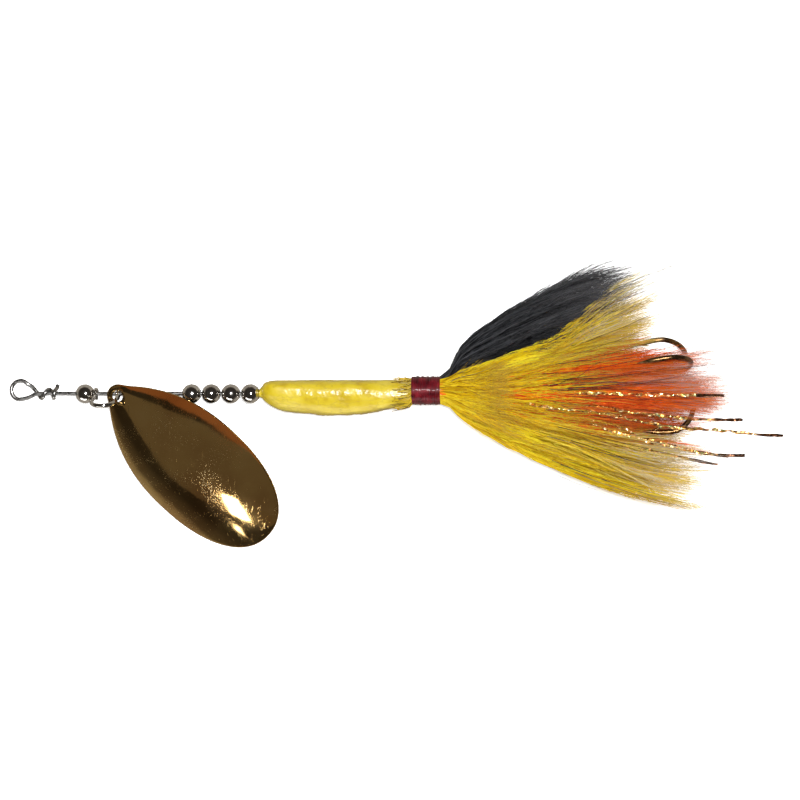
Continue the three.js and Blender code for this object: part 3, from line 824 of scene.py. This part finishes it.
def split_ring():
    """Nearly two turns of wire that lie side by side and cross over once."""
    degrees = np.arange(30, 691, 5.0)
    a = np.radians(degrees + 90)
    side = (smoothstep(degrees, 330, 390) - 0.5) * SPLIT_RING["gap"]
    path = np.stack([SPLIT_RING["r"] * np.cos(a), side, SPLIT_RING["r"] * np.sin(a)], -1)
    vertices, quads = tube(path, SPLIT_RING["wire"], 14, first=(0.0, 1.0, 0.0))
    vertices = rotated(vertices, "x", math.radians(SPLIT_RING["roll"]))
    vertices[:, 0] += SPLIT_RING["x"]
    return vertices, quads


make_piece("split_ring_fine", split_ring(), NICKEL_RING, "split_ring", "split_ring")

# ---------- treble hook ----------

# shank and point are distances behind the eye; cluster is how far each shank lies from their middle
HOOK = {"shank": 39.0, "bend": 8.8, "point": 32.5, "lean": 1.6, "cluster": 1.15, "wire": 0.85, "eye": 2.6}
BEND_START = HOOK["shank"] + 2.2
TAPER = 5.2  # the length of the needle point
HOOK_A, HOOK_B, HOOK_C = -48, 72, 192  # the angle of each hook round the shanks
EYE_ROLL = math.radians(-18)


def treble_to_lure(points):
    """From the treble's frame, whose x runs back from its eye, to the lure's frame."""
    points = rotated(rotated(points, "y", TREBLE_PITCH), "z", TREBLE_YAW)
    return points + np.array([TREBLE_X, 0, 0])


def hook_points(degrees):
    """One hook from its shank round the bend to its point."""
    bend, cluster = HOOK["bend"], HOOK["cluster"]
    points = [around(8, cluster, degrees), around(HOOK["shank"], cluster, degrees)]
    for i in range(1, 12):
        a = math.pi * (i / 12 - 0.5)
        points.append(around(BEND_START + bend * math.cos(a), cluster + bend * (1 + math.sin(a)), degrees))
    out = cluster + 2 * bend
    for share in (0.35, 0.75, 0.9, 1.0):
        x = BEND_START + (HOOK["point"] - BEND_START) * share
        points.append(around(x, out - HOOK["lean"] * share, degrees))
    return points


def hook_radius(path, tips):
    """Full wire, tapered over the last few millimetres to each needle point."""
    radius = np.full(len(path), HOOK["wire"])
    for tip in tips:
        away = np.linalg.norm(path - tip, axis=1)
        radius = np.minimum(radius, HOOK["wire"] * (0.05 + 0.95 * np.clip(away / TAPER, 0, 1) ** 0.75))
    return radius


BARB = {"behind_point": 3.4, "length": 3.1, "lift": 1.25, "thick": 0.46, "tip": 0.03, "sunk": 0.25}


def barb(degrees):
    """The cut barb: a thin wedge that lifts off the inner side of the point, toward the bend."""
    share = np.linspace(0, 1, 7)
    x = HOOK["point"] + BARB["behind_point"] + BARB["length"] * share
    out = HOOK["cluster"] + 2 * HOOK["bend"] - HOOK["lean"] * 0.62
    inward = out - BARB["sunk"] - BARB["lift"] * share**1.3
    path = np.vstack([around(*at, degrees) for at in zip(x, inward)])
    return tube(path, BARB["thick"] * (1 - share) ** 0.8 + BARB["tip"], 10, first=(0.3, 0.3, 1.0))


def double_hook():
    """Two hooks and the eye between them, bent from one wire."""
    eye = []
    for i in range(11):
        turn = math.radians(-50 - 260 * i / 10)
        side = HOOK["eye"] * math.sin(turn)
        across, up = side * math.cos(EYE_ROLL), side * math.sin(EYE_ROLL)
        eye.append((HOOK["eye"] * (1 + math.cos(turn)), across, up))
    path = smooth_path([*reversed(hook_points(HOOK_C)), *reversed(eye), *hook_points(HOOK_A)], 8)
    wire = tube(path, hook_radius(path, (path[0], path[-1])), 18)
    vertices, quads = join([wire, barb(HOOK_A), barb(HOOK_C)])
    return treble_to_lure(vertices), quads


def third_hook():
    path = smooth_path(hook_points(HOOK_B), 8)
    vertices, quads = join([tube(path, hook_radius(path, (path[-1],)), 18), barb(HOOK_B)])
    return treble_to_lure(vertices), quads


make_piece("treble_double_hook_fine", double_hook(), BRONZE, "treble", "treble_double_hook")
make_piece("treble_third_hook_fine", third_hook(), BRONZE, "treble", "treble_third_hook")

# ---------- hair ----------

HAIR_ROOT = 14.4  # under the thread's rear edge
INNER_ROOT = 47.0  # pale and stray hairs start inside the tail, under the dyed ones
ROOT_SPREAD = 12.0  # and each at its own place, up to this far behind that
HAIR_TOP, HAIR_DROOP = 33.0, 0.75  # hair that stands higher than this sags by this share of the rest
HAIR_LOW = 0.25  # no hair lies lower than this over the floor
HAIR_WIDTH, FINE_WIDTH = 0.29, 0.19
STRAY_CURL = 1.7
SEAM_SPREAD = 1.4  # each hair is cut at its own place, this far before or behind the seam
END_RING = 0.03  # a ring this close to each hair's end keeps the round shading up to the end
HAIR_RINGS = 9
LEAVE = (15.2, 21.0)  # between these hair goes over from its gathered root to its place in the fan
NEAR_BLEND, FAR_BLEND = 18.0, 76.0  # x stations along the tail that bend_hair looks up; the hair is not bent
FAN_START = 16.0
DENSITY = 1.0


def floor_below(x):
    return WIRE_HEIGHT / math.cos(TILT) + x * math.tan(TILT)


def tail_middle(x):
    """How far the tail's middle lies beside and above the wire's line."""
    beside = COLLAR["side"] * (1 - smoothstep(x, 15, 34))
    return beside, -np.maximum(0, x - TREBLE_X) * math.tan(TREBLE_PITCH)


def fan_reach(x, degrees):
    """Outer skin of the fanned hair: wide sideways, flat where it lies on the surface."""
    d = np.maximum(x - FAN_START, 0)
    a = np.radians(degrees)
    on_left, on_right = 4.5 + 0.44 * d - 0.0004 * d**2, 4.5 + 0.64 * d - 0.0028 * d**2
    sideways = np.where(np.cos(a) > 0, on_left, on_right)
    raised = 4.5 + 0.3 * d
    below = np.minimum(raised, floor_below(x) + tail_middle(x)[1] - 0.2)
    upright = np.where(np.sin(a) > 0, raised, below)
    power = 2.6
    sum_of = np.abs(np.cos(a) / sideways) ** power + np.abs(np.sin(a) / upright) ** power
    return sum_of ** (-1 / power)


# how far the orange core, the hollow inside it and the black tuft reach from the tail's middle
CORE_REACH = [[16, 2.9], [30, 6.3], [38, 8.0], [50, 11.0], [64, 14.0], [80, 16.2], [116, 19.0]]
core_reach = curve_through(CORE_REACH)
core_hollow = curve_through([[16, 1.0], [33, 2.6], [39, 4.6], [50, 4.6], [56, 3.2], [116, 2.0]])
black_reach = curve_through([[16, 5.6], [22, 14.5], [29, 21.0], [46, 31.5], [65, 40.0], [80, 43.0]])


def core_skin(x, degrees):
    return np.minimum(core_reach(x), fan_reach(x, degrees) - 1.2)


def strand_mesh(name, lines, widths, tint, thin, material):
    """Three-sided tapered strands. lines is (strands, points, 3) in mm; the rest is per point."""
    count, steps = lines.shape[:2]
    points = place(lines)
    tangent = unit(np.gradient(points, axis=1))
    across = unit(np.cross(tangent, unit(rng.normal(size=(count, 1, 3)))))
    other = np.cross(across, tangent)
    a = np.radians([90, 210, 330])
    ways = np.cos(a)[:, None] * across[:, :, None] + np.sin(a)[:, None] * other[:, :, None]
    corners = points[:, :, None] + ways * (widths * MM / 2)[:, :, None, None]
    number = np.arange(count * steps * 3).reshape(count, steps, 3)
    near, far = number[:, :-1], number[:, 1:]
    quads = np.stack([near, np.roll(near, -1, 2), np.roll(far, -1, 2), far], -1).reshape(-1, 4)
    caps = np.vstack([number[:, 0, ::-1], number[:, -1]])
    obj = new_mesh(name, corners.reshape(-1, 3), quads, caps)
    colour = np.ones((count, steps, 3, 4), np.float32)
    colour[..., :3] = tint[:, :, None]
    set_attribute(obj, "tint", "FLOAT_COLOR", colour)
    set_attribute(obj, "thin", "FLOAT", np.broadcast_to(thin[:, :, None], (count, steps, 3)))
    obj.data.materials.append(material)
    return obj


class Lock:
    """A lock of hair: clumps between two angles and two skins, each hair a function of x along the wire."""

    SHORTER, UNEVEN = 9.5, 2.0  # how much shorter than its clump a hair is, and how unevenly cut
    SHORTEST = (7, 24)  # every hair is at least this long
    CLUMP_FAN, CLUMP_SWAY, OWN_SWAY = 1.2, 5.5, 1.3  # degrees round the tail, at the root and at the tip
    CLUMP_CURL, OWN_CURL = 2.3, 0.75  # how far the tips curl aside
    WAVE, WAVE_SIZE, WAVE_SCATTER = (7, 13), (0.11, 0.36), 0.9  # the crinkle's length, height and phase
    CLUMP_SHADE, OWN_SHADE, FULL_SHADE = 0.6, 0.95, 1.6  # from full shade on a hair is quite dark or light
    WIDTHS = (0.76, 1.24)
    TAPER, TAPER_POWER = 0.78, 1.6

    def __init__(self, count, clumps, angles, skins, ends, root, width, curl):
        self.skins, self.root = skins, root
        clump_angle = rng.uniform(*angles, clumps)
        clump_share = rng.uniform(0, 1, clumps)
        clump_end = ends[0] + (ends[1] - ends[0]) * rng.beta(2.2, 1.6, clumps)
        clump_phase = rng.uniform(0, 2 * math.pi, (2, clumps))
        self.member = rng.integers(0, clumps, count)
        self.degrees = clump_angle[self.member] + rng.normal(0, self.CLUMP_FAN, count)
        self.share = clump_share[self.member]
        self.end = clump_end[self.member] - np.abs(rng.normal(0, self.SHORTER, count))
        self.end = self.end + rng.normal(0, self.UNEVEN, count)
        self.end = np.clip(self.end, root + rng.uniform(*self.SHORTEST, count), ends[1] + 3)
        clump_sway = rng.normal(0, self.CLUMP_SWAY, clumps)
        self.sway = clump_sway[self.member] + rng.normal(0, self.OWN_SWAY, count)
        spin = rng.uniform(0, 2 * math.pi, count)
        reach = np.sqrt(rng.uniform(0, 1, count))
        self.offset = np.stack([reach * np.cos(spin), reach * np.sin(spin)], -1)
        own_curl = rng.normal(0, self.OWN_CURL, (count, 2))
        clump_curl = rng.normal(0, self.CLUMP_CURL, (clumps, 2))
        self.curl = curl * (own_curl + clump_curl[self.member])
        self.wave = rng.uniform(*self.WAVE, count)
        self.phase = clump_phase[:, self.member] + rng.normal(0, self.WAVE_SCATTER, (2, count))
        self.crinkle = rng.uniform(*self.WAVE_SIZE, count)
        clump_shade = rng.normal(0, 1, clumps)[self.member] * self.CLUMP_SHADE
        self.shade = clump_shade + rng.normal(0, self.OWN_SHADE, count)
        self.width = width * rng.uniform(*self.WIDTHS, count)

    def fan_place(self, who, xs, s):
        """Sideways and upward distance from the tail's middle, before crinkle and sag."""
        degrees = self.degrees[who][:, None] + self.sway[who][:, None] * s**1.5
        share = self.share[who][:, None]
        inside, outside = (skin(xs, degrees) for skin in self.skins)
        reach = inside + (outside - inside) * share
        gathered = 1.0 + 2.9 * share
        leave = smoothstep(xs, *LEAVE)
        reach = gathered * (1 - leave) + reach * leave
        spread = (0.25 + 0.75 * smoothstep(s, 0, 0.35)) * (1 - 0.75 * s**2)
        a = np.radians(degrees)
        offset, curl = self.offset[who][:, None], self.curl[who][:, None]
        y = reach * np.cos(a) + offset[..., 0] * spread + curl[..., 0] * s**3
        z = reach * np.sin(a) + offset[..., 1] * spread + curl[..., 1] * s**3 * 0.6
        return y, z

    def at(self, who, xs):
        """Points of the hairs numbered who at stations xs, and how far along its hair each point is."""
        s = np.clip((xs - self.root) / (self.end[who][:, None] - self.root), 0, 1)
        y, z = self.fan_place(who, xs, s)
        middle_y, middle_z = tail_middle(xs)
        wobble = self.crinkle[who][:, None] * smoothstep(xs, 17, 26)
        turn = 2 * math.pi * xs / self.wave[who][:, None]
        phase_a, phase_b = self.phase[:, who, None]
        y = middle_y + y + wobble * (np.sin(turn + phase_a) + 0.5 * np.sin(2.3 * turn + phase_b))
        z = middle_z + z + wobble * (np.cos(turn * 0.9 + phase_b) + 0.5 * np.sin(2.1 * turn + phase_a))
        floor_height = floor_below(xs)
        z = z - HAIR_DROOP * np.maximum(z + floor_height - HAIR_TOP, 0)
        z = np.maximum(z, HAIR_LOW - floor_height)
        return np.stack([xs, y, z], -1), s

    def colour(self, who, s, dye):
        """Each hair's colour along its length, and how see-through it is."""
        dark, base, light, tip, tip_start, clear = dye
        shade = self.shade[who][:, None, None]
        other = np.where(shade < 0, np.array(dark), np.array(light))
        tint = np.array(base) + (other - base) * np.clip(np.abs(shade) / self.FULL_SHADE, 0, 1)
        fade = smoothstep(s, tip_start, 1.0)[..., None]
        return tint * (1 - fade) + np.array(tip) * fade, clear * fade[..., 0]

    def halves(self):
        """Which hairs lie in front of the seam and behind it, and from where to where along x."""
        is_long = self.end > SEAM + 2 * SEAM_SPREAD
        everyone, long_ones = np.arange(len(self.end)), np.flatnonzero(is_long)
        cut = SEAM + rng.uniform(-SEAM_SPREAD, SEAM_SPREAD, len(self.end))
        if self.root < SEAM - SEAM_SPREAD:
            yield "near", everyone, np.full(len(everyone), self.root), np.where(is_long, cut, self.end)
        if len(long_ones):
            first = np.maximum(cut[long_ones], self.root + rng.uniform(0, ROOT_SPREAD, len(long_ones)))
            yield "far", long_ones, first, self.end[long_ones]

    def build(self, name, dye, material, slot, node):
        """The near and far meshes of the lock, which meet at the seam."""
        for label, who, first, last in list(self.halves()):
            xs = first[:, None] + (last - first)[:, None] * np.linspace(0, 1, HAIR_RINGS)[None]
            starts, stops = xs[:, :1], xs[:, -1:]
            xs = np.concatenate([starts, starts + END_RING, xs[:, 1:-1], stops - END_RING, stops], 1)
            lines, s = self.at(who, xs)
            widths = self.width[who][:, None] * (1 - self.TAPER * s**self.TAPER_POWER)
            tint, thin = self.colour(who, s, dye)
            piece = strand_mesh(f"{name}_{label}", lines, widths, tint, thin, material)
            bend_hair(piece, label)
        if node:
            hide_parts(node)


def bend_hair(piece, label):
    """Bakes the piece's placement into its mesh; hair in front of the seam and behind it is left unbent."""
    if label == "near":
        place([NEAR_BLEND, 0, 0])
        place([SEAM, 0, 0])
        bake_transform(piece)
    else:
        place([SEAM, 0, 0])
        place([FAR_BLEND, 0, 0])
        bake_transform(piece)


# ---------- the skins that locks of hair lie between ----------


def over_core(x, degrees):
    return core_skin(x, degrees) + 0.3


def past_black(x, degrees):
    return fan_reach(x, degrees) + 0.4


def under_fan(x, degrees):
    return fan_reach(x, degrees) * (0.8 + 0.18 * smoothstep(x, 50, 90))


def black_gap(x, degrees):
    return fan_reach(x, degrees) * (0.85 + 0.45 * smoothstep(x, 40, 75))


def black_skin(x, degrees):
    return black_reach(x) + 0 * degrees


def core_inside(x, degrees):
    return core_hollow(x) + 0 * degrees


def far_out(x, degrees):
    """Where single hairs stand off the fan; on the black side they clear the black tuft."""
    beside_black = smoothstep(np.cos(np.radians(degrees)), 0.86, 0.95)
    return fan_reach(x, degrees) + 2.5 + 8.0 * beside_black * smoothstep(x, 18, 60)


# dark, base, light, tip colour, where the tip colour starts, how clear the tip gets
YELLOW = ((0.58, 0.30, 0.002), (0.98, 0.76, 0.006), (1.0, 0.92, 0.05), (0.90, 0.70, 0.18), 0.78, 0.5)
GOLDEN = ((0.46, 0.20, 0.002), (0.96, 0.68, 0.006), (1.0, 0.86, 0.05), (0.88, 0.62, 0.12), 0.78, 0.5)
ORANGE = ((0.46, 0.026, 0.001), (0.94, 0.115, 0.001), (1.0, 0.22, 0.003), (0.93, 0.29, 0.05), 0.88, 0.45)
BLACK = ((0.001, 0.001, 0.002), (0.004, 0.0045, 0.006), (0.06, 0.063, 0.07), (0.12, 0.12, 0.13), 0.70, 0.5)
PALE = ((0.64, 0.36, 0.02), (0.98, 0.74, 0.04), (1.0, 0.90, 0.12), (0.92, 0.91, 0.89), 0.42, 0.7)
RUSTY = ((0.52, 0.04, 0.002), (0.94, 0.18, 0.01), (1.0, 0.30, 0.02), (0.92, 0.89, 0.87), 0.45, 0.7)
STRAY = ((0.02, 0.015, 0.012), (0.07, 0.05, 0.04), (0.22, 0.19, 0.17), (0.20, 0.17, 0.16), 0.6, 0.2)

# look: dye, material, slot, root, width, how strongly it curls
LOOKS = {
    "yellow": (YELLOW, YELLOW_HAIR, "yellow_hair", HAIR_ROOT, HAIR_WIDTH, 1.0),
    "golden": (GOLDEN, YELLOW_HAIR, "yellow_hair", HAIR_ROOT, HAIR_WIDTH, 1.0),
    "orange": (ORANGE, ORANGE_HAIR, "orange_hair", HAIR_ROOT, HAIR_WIDTH, 1.0),
    "black": (BLACK, BLACK_HAIR, "black_hair", HAIR_ROOT, HAIR_WIDTH, 1.0),
    "pale": (PALE, PALE_HAIR, None, INNER_ROOT, FINE_WIDTH, 1.0),
    "rusty": (RUSTY, PALE_HAIR, None, INNER_ROOT, FINE_WIDTH, 1.0),
    "stray": (STRAY, PALE_HAIR, None, INNER_ROOT, FINE_WIDTH, STRAY_CURL),
    "front": (STRAY, PALE_HAIR, None, HAIR_ROOT, FINE_WIDTH, STRAY_CURL),
}
CORE = (core_inside, core_skin)
YELLOW_FAN = (over_core, fan_reach)
LOWER_ORANGE = (HOOK_C + 11, 312)
# piece name, look, CAD node, hairs, clumps, angles, inner and outer skin, (shortest, longest end)
LOCKS = [
    ("orange_hair_side", "orange", "orange_tuft_side", 1500, 80, (38, 54), CORE, (78, 104)),
    ("orange_hair_low", "orange", None, 1500, 70, (HOOK_A, 38), CORE, (60, 87)),
    ("orange_hair_gap", "orange", None, 1100, 60, (54, 86), CORE, (66, 90)),
    ("orange_hair_top", "orange", "orange_tuft_top", 1500, 70, (86, 99), CORE, (78, 111)),
    ("orange_hair_short", "orange", None, 2700, 110, (99, HOOK_C - 6), CORE, (60, 87)),
    ("orange_hair_bottom", "orange", "orange_tuft_bottom", 2800, 120, LOWER_ORANGE, CORE, (78, 112)),
    ("yellow_hair_upper", "yellow", "yellow_tuft_upper", 3400, 180, (-45, 30), YELLOW_FAN, (56, 90)),
    ("yellow_hair_lower", "yellow", "yellow_tuft_lower", 4200, 180, (169, 228), YELLOW_FAN, (60, 106)),
    ("yellow_hair_over", "golden", "yellow_tuft_over", 1900, 150, (30, 165), YELLOW_FAN, (20, 46)),
    ("yellow_hair_sparse", "golden", None, 800, 240, (34, 165), (over_core, over_core), (36, 84)),
    ("black_hair", "black", "black_tuft", 3200, 130, (-12, 22), (past_black, black_skin), (50, 82)),
    ("pale_hair_upper", "pale", None, 260, 110, (-8, 40), (under_fan, black_gap), (66, 104)),
    ("pale_hair_lower", "pale", None, 260, 110, (135, 215), (core_skin, under_fan), (82, 118)),
    ("pale_hair_end", "rusty", None, 420, 120, (-10, 120), CORE, (100, 124)),
    ("stray_hair", "stray", None, 46, 46, (-14, 196), (under_fan, far_out), (70, 127)),
    ("front_stray_hair", "front", None, 9, 9, (-10, 60), (past_black, far_out), (26, 40)),
]
for name, look, node, count, clumps, angles, skins, ends in LOCKS:
    dye, material, slot, root, width, curl = LOOKS[look]
    lock = Lock(max(clumps, int(count * DENSITY)), clumps, angles, skins, ends, root, width, curl)
    lock.build(name, dye, material, slot, node)


def forward_hair():
    """One loose hair that comes out of the thread and lies forward beside the body."""
    points = [(15.2, 4.0, 1.6), (13.6, 6.8, 2.6), (11.8, 8.1, 3.0), (5.4, 8.6, 3.4)]
    points += [(1.1, 10.5, 3.8), (-2.8, 11.6, 4.0), (-7.8, 13.8, 4.0)]
    line = smooth_path(points, 5)[None]
    share = np.linspace(0, 1, line.shape[1])[None]
    tint = np.broadcast_to(np.array(STRAY[1]), line.shape)
    return strand_mesh("forward_hair", line, FINE_WIDTH * (1 - 0.5 * share), tint, 0.3 * share, PALE_HAIR)


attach(forward_hair(), "lure")

# ---------- hair butts over the body's tail ----------


BUTTS = {"start": 7.4, "under_thread": 1.6, "shortest": 0.8, "spread": 6.5, "width": 0.2}
BUTT_STRAW, BUTT_PALE, BUTT_DARK = (0.80, 0.58, 0.03), (0.90, 0.74, 0.22), (0.16, 0.09, 0.012)
HOLD = (4.9, 6.6)  # between these the butts go over from the body's skin to the thread's bed


def hair_butts():
    """Cut ends that lie forward over the body's tail and stick out a little where they were trimmed."""
    count, steps = 300, 7
    degrees = rng.uniform(0, 360, count)[:, None]
    length = rng.beta(1.6, 2.2, count)[:, None] * BUTTS["spread"] + BUTTS["shortest"]
    t = np.linspace(0, 1, steps)[None]
    x = BUTTS["start"] - (length + BUTTS["under_thread"]) * t
    lift = 0.12 + rng.exponential(0.22, count)[:, None] * t**1.6 + rng.uniform(0, 0.5, count)[:, None]
    drift = rng.normal(0, 9, count)[:, None] * t + rng.normal(0, 5, count)[:, None] * t**2
    on_body = body_skin(np.minimum(x, 4.6), degrees + drift, lift)
    at_thread = around(0, 4.15, degrees + 0 * t) + np.array([0, COLLAR["side"], 0])
    hold = smoothstep(x, *HOLD)[..., None]
    lines = on_body * (1 - hold) + at_thread * hold
    lines[..., 0] = x
    shade = rng.uniform(0, 1, (count, 1, 1))
    straw = np.where(shade < 0.8, BUTT_STRAW, BUTT_PALE)
    tint = np.broadcast_to(np.where(shade < 0.2, BUTT_DARK, straw), (count, steps, 3))
    widths = np.full((count, steps), BUTTS["width"]) * rng.uniform(0.7, 1.2, (count, 1))
    return strand_mesh("hair_butts_fine", lines, widths, tint, np.zeros((count, steps)), YELLOW_HAIR)


stand_for(hair_butts(), "lure", "hair_butts")

# ---------- tinsel ----------

# start and end angle, how far out of the orange hair the end lies, where it comes out of the hair, end x
STRANDS = [
    (84, 92, 1.02, 62, 106),
    (98, 116, 1.02, 78, 112),
    (100, 124, 1.2, 47, 124.5),
    (116, 146, 1.25, 72, 113),
    (128, 150, 1.2, 84, 108),
    (140, 166, 1.25, 66, 105),
]
TINSEL_START, TINSEL_ROOT_R = 14.6, 3.6
TINSEL_FAN = 15.0  # from here on each strand turns from its start angle to its end angle


def tinsel_line(start, end, out, rise, last, xs):
    """It leaves the thread under the yellow hair and comes up through the orange."""
    share = (xs - TINSEL_FAN) / (last - TINSEL_FAN)
    degrees = start + (end - start) * (1 - (1 - share) ** 1.7)
    lift = 0.72 + 0.30 * smoothstep(xs, rise - 14, rise) + (out - 1) * smoothstep(xs, 60, 100)
    reach = core_reach(xs) * lift + 0.6 * np.sin(xs * 0.17 + start)
    leave = smoothstep(xs, *LEAVE)
    reach = TINSEL_ROOT_R * (1 - leave) + reach * leave
    middle_y, middle_z = tail_middle(xs)
    points = around(xs, reach, degrees)
    points[:, 1] += middle_y
    points[:, 2] += middle_z
    return points


# the ribbon's section: (share of half its width, thickness on that side)
RIBBON = [(-1, -0.16), (-0.5, -0.1), (0.5, -0.1), (1, -0.16)]
RIBBON += [(1, 0.16), (0.5, 0.22), (-0.5, 0.22), (-1, 0.16)]
RIBBON_HALF = 0.5
WORN = (13, 8)  # the foil wears off between these distances from the end


def tinsel_rings(number, start, end, out, rise, last, xs):
    """The ribbon's rings at stations xs, and how worn each one is."""
    path = tinsel_line(start, end, out, rise, last, xs)
    crinkle = 0.16 * smoothstep(xs, 18, 26) * (1 - smoothstep(xs, last - 14, last - 8))
    path[:, 2] += crinkle * np.sin(xs * 1.9 + number)
    path[:, 1] += crinkle * np.sin(xs * 1.3 + 2 * number)
    tangent, normal, binormal = carried_frames(path)
    twist = 0.8 * np.sin(xs * 0.33 + number) + xs * 0.3
    wide = np.cos(twist)[:, None] * binormal + np.sin(twist)[:, None] * normal
    flat = np.cross(tangent, wide)
    brown = smoothstep(xs, last - WORN[0], last - WORN[1])
    half = RIBBON_HALF * (1 - 0.35 * brown)
    corners = []
    for u, v in RIBBON:
        thick = v * (1 + 1.6 * brown)
        corners.append(path + wide * (u * half)[:, None] + flat * thick[:, None])
    rings = np.stack(corners, 1)
    caps = [ring.mean(0) + (ring - ring.mean(0)) * 1e-3 for ring in (rings[0], rings[-1])]
    rings = np.concatenate([caps[:1], rings, caps[1:]])
    return rings, np.concatenate([brown[:1], brown, brown[-1:]])


def tinsel_strand(number, start, end, out, rise, last):
    """A crinkled ribbon that twists along its length, with a dull brown end where the foil has worn off."""
    for label, first, stop in [("near", TINSEL_START, SEAM), ("far", SEAM, last)]:
        xs = np.linspace(first, stop, int((stop - first) * 2.6))
        rings, worn = tinsel_rings(number, start, end, out, rise, last, xs)
        quads = grid_quads(len(rings), len(RIBBON))
        piece = new_mesh(f"flash_strand_{number}_{label}", place(rings.reshape(-1, 3)), quads, smooth=False)
        set_attribute(piece, "thin", "FLOAT", np.repeat(worn, len(RIBBON)))
        piece.data.materials.append(TINSEL)
        bend_hair(piece, label)
        if label == "near":
            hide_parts(f"flash_strand_{number}")


for number, strand in enumerate(STRANDS, 1):
    tinsel_strand(number, *strand)

# ---------- camera, lights, floor ----------

low, high = cad_bounds
middle_x, middle_y = (low.x + high.x) / 2, (low.y + high.y) / 2
LENS, SENSOR = 100.0, 36.0
MARGIN = 1.038  # the view's width over the lure's length
AIM = (2.1 * MM, 1.8 * MM)  # the camera stands this far beside the lure's middle
WIDTH_AT = 0.11  # the height, as a share of the lure's, at which the view has that width


def camera():
    data = bpy.data.cameras.new("camera")
    data.lens, data.sensor_width = LENS, SENSOR
    obj = bpy.data.objects.new("camera", data)
    distance = (high.x - low.x) * MARGIN * LENS / SENSOR
    obj.location = (middle_x + AIM[0], middle_y + AIM[1], high.z * WIDTH_AT + distance)
    bpy.context.scene.collection.objects.link(obj)
    bpy.context.scene.camera = obj


def softbox(name, towards, distance, size, radiance, colour=(1, 1, 1)):
    """An area light of a given brightness, which faces the origin from the direction towards."""
    data = bpy.data.lights.new(name, "AREA")
    data.shape, data.size, data.size_y = "RECTANGLE", size[0], size[1]
    data.energy, data.color = radiance * math.pi * size[0] * size[1], colour
    obj = bpy.data.objects.new(name, data)
    way = Vector(towards).normalized()
    obj.location = way * distance
    obj.rotation_mode = "QUATERNION"
    obj.rotation_quaternion = (-way).to_track_quat("-Z", "Y")
    bpy.context.scene.collection.objects.link(obj)
    return obj


def light_only(light, obj, shone_on):
    """The light either shines on obj alone, or on everything else."""
    group = bpy.data.collections.new(light.name + "_receivers")
    group.objects.link(obj)
    if not shone_on:
        group.collection_objects[0].light_linking.link_state = "EXCLUDE"
    light.light_linking.receiver_collection = group


def room():
    """A dim room as the metal sees it, with a pale backdrop behind the floor."""
    n = Nodes("room", "worlds")
    height = n.add("SeparateXYZ", i0=n.add("TexCoord")["Generated"])["Z"]
    skirting, wall, ceiling = (0.34, 0.31, 0.27), (0.10, 0.085, 0.07), (0.03, 0.026, 0.022)
    walls = n.ramp(height, (0.0, skirting), (0.1, wall), (0.4, ceiling))
    tint = n.mix(n.add("LightPath")["Is Camera Ray"], walls, (0.86, 0.86, 0.86, 1))
    bpy.context.scene.world = n.finish(n.add("Background", Color=tint)[0], "OutputWorld")


def floor():
    size, steps, depth = 3.0, 12, -0.0001
    line = np.linspace(-size, size, steps)
    x, y = np.meshgrid(line, line, indexing="ij")
    vertices = np.stack([x, y, np.full_like(x, depth)], -1).reshape(-1, 3)
    number = np.arange(steps * steps).reshape(steps, steps)
    quads = np.stack([number[:-1, :-1], number[1:, :-1], number[1:, 1:], number[:-1, 1:]], -1)
    obj = new_mesh("pale_floor", vertices, quads)
    obj.data.materials.append(pale_floor())


camera()
room()
floor()
WHITE, CREAM, AMBER, RED = (1.0, 1.0, 1.0), (1.0, 1.0, 0.96), (1.0, 0.84, 0.62), (1.0, 0.36, 0.13)
# name: towards, distance, size, radiance, colour, whether it shines on the blade alone
LIGHTS = {
    "flash": ((0.06, 0.08, 1.0), 0.76, (0.12, 0.12), 195.0, WHITE, False),
    "low_panel": ((-0.35, -1.0, 0.25), 0.9, (0.9, 0.25), 4.0, WHITE, False),
    "blade_glare": ((-0.02, -0.64, 0.80), 0.9, (0.17, 0.26), 18.0, CREAM, True),
    "blade_glint": ((-0.14, -0.88, 0.55), 0.9, (0.06, 0.08), 9.0, CREAM, True),
    "blade_ceiling": ((0.0, -0.22, 1.0), 1.2, (2.4, 1.7), 0.10, AMBER, True),
    "blade_red_wall": ((0.30, 1.0, 0.84), 0.9, (1.4, 0.75), 0.22, RED, True),
}
for name, (towards, distance, size, radiance, colour, blade_only) in LIGHTS.items():
    light = softbox(name, towards, distance, size, radiance, colour)
    light_only(light, blade_piece, shone_on=blade_only)
bpy.context.scene.view_settings.view_transform = "Standard"
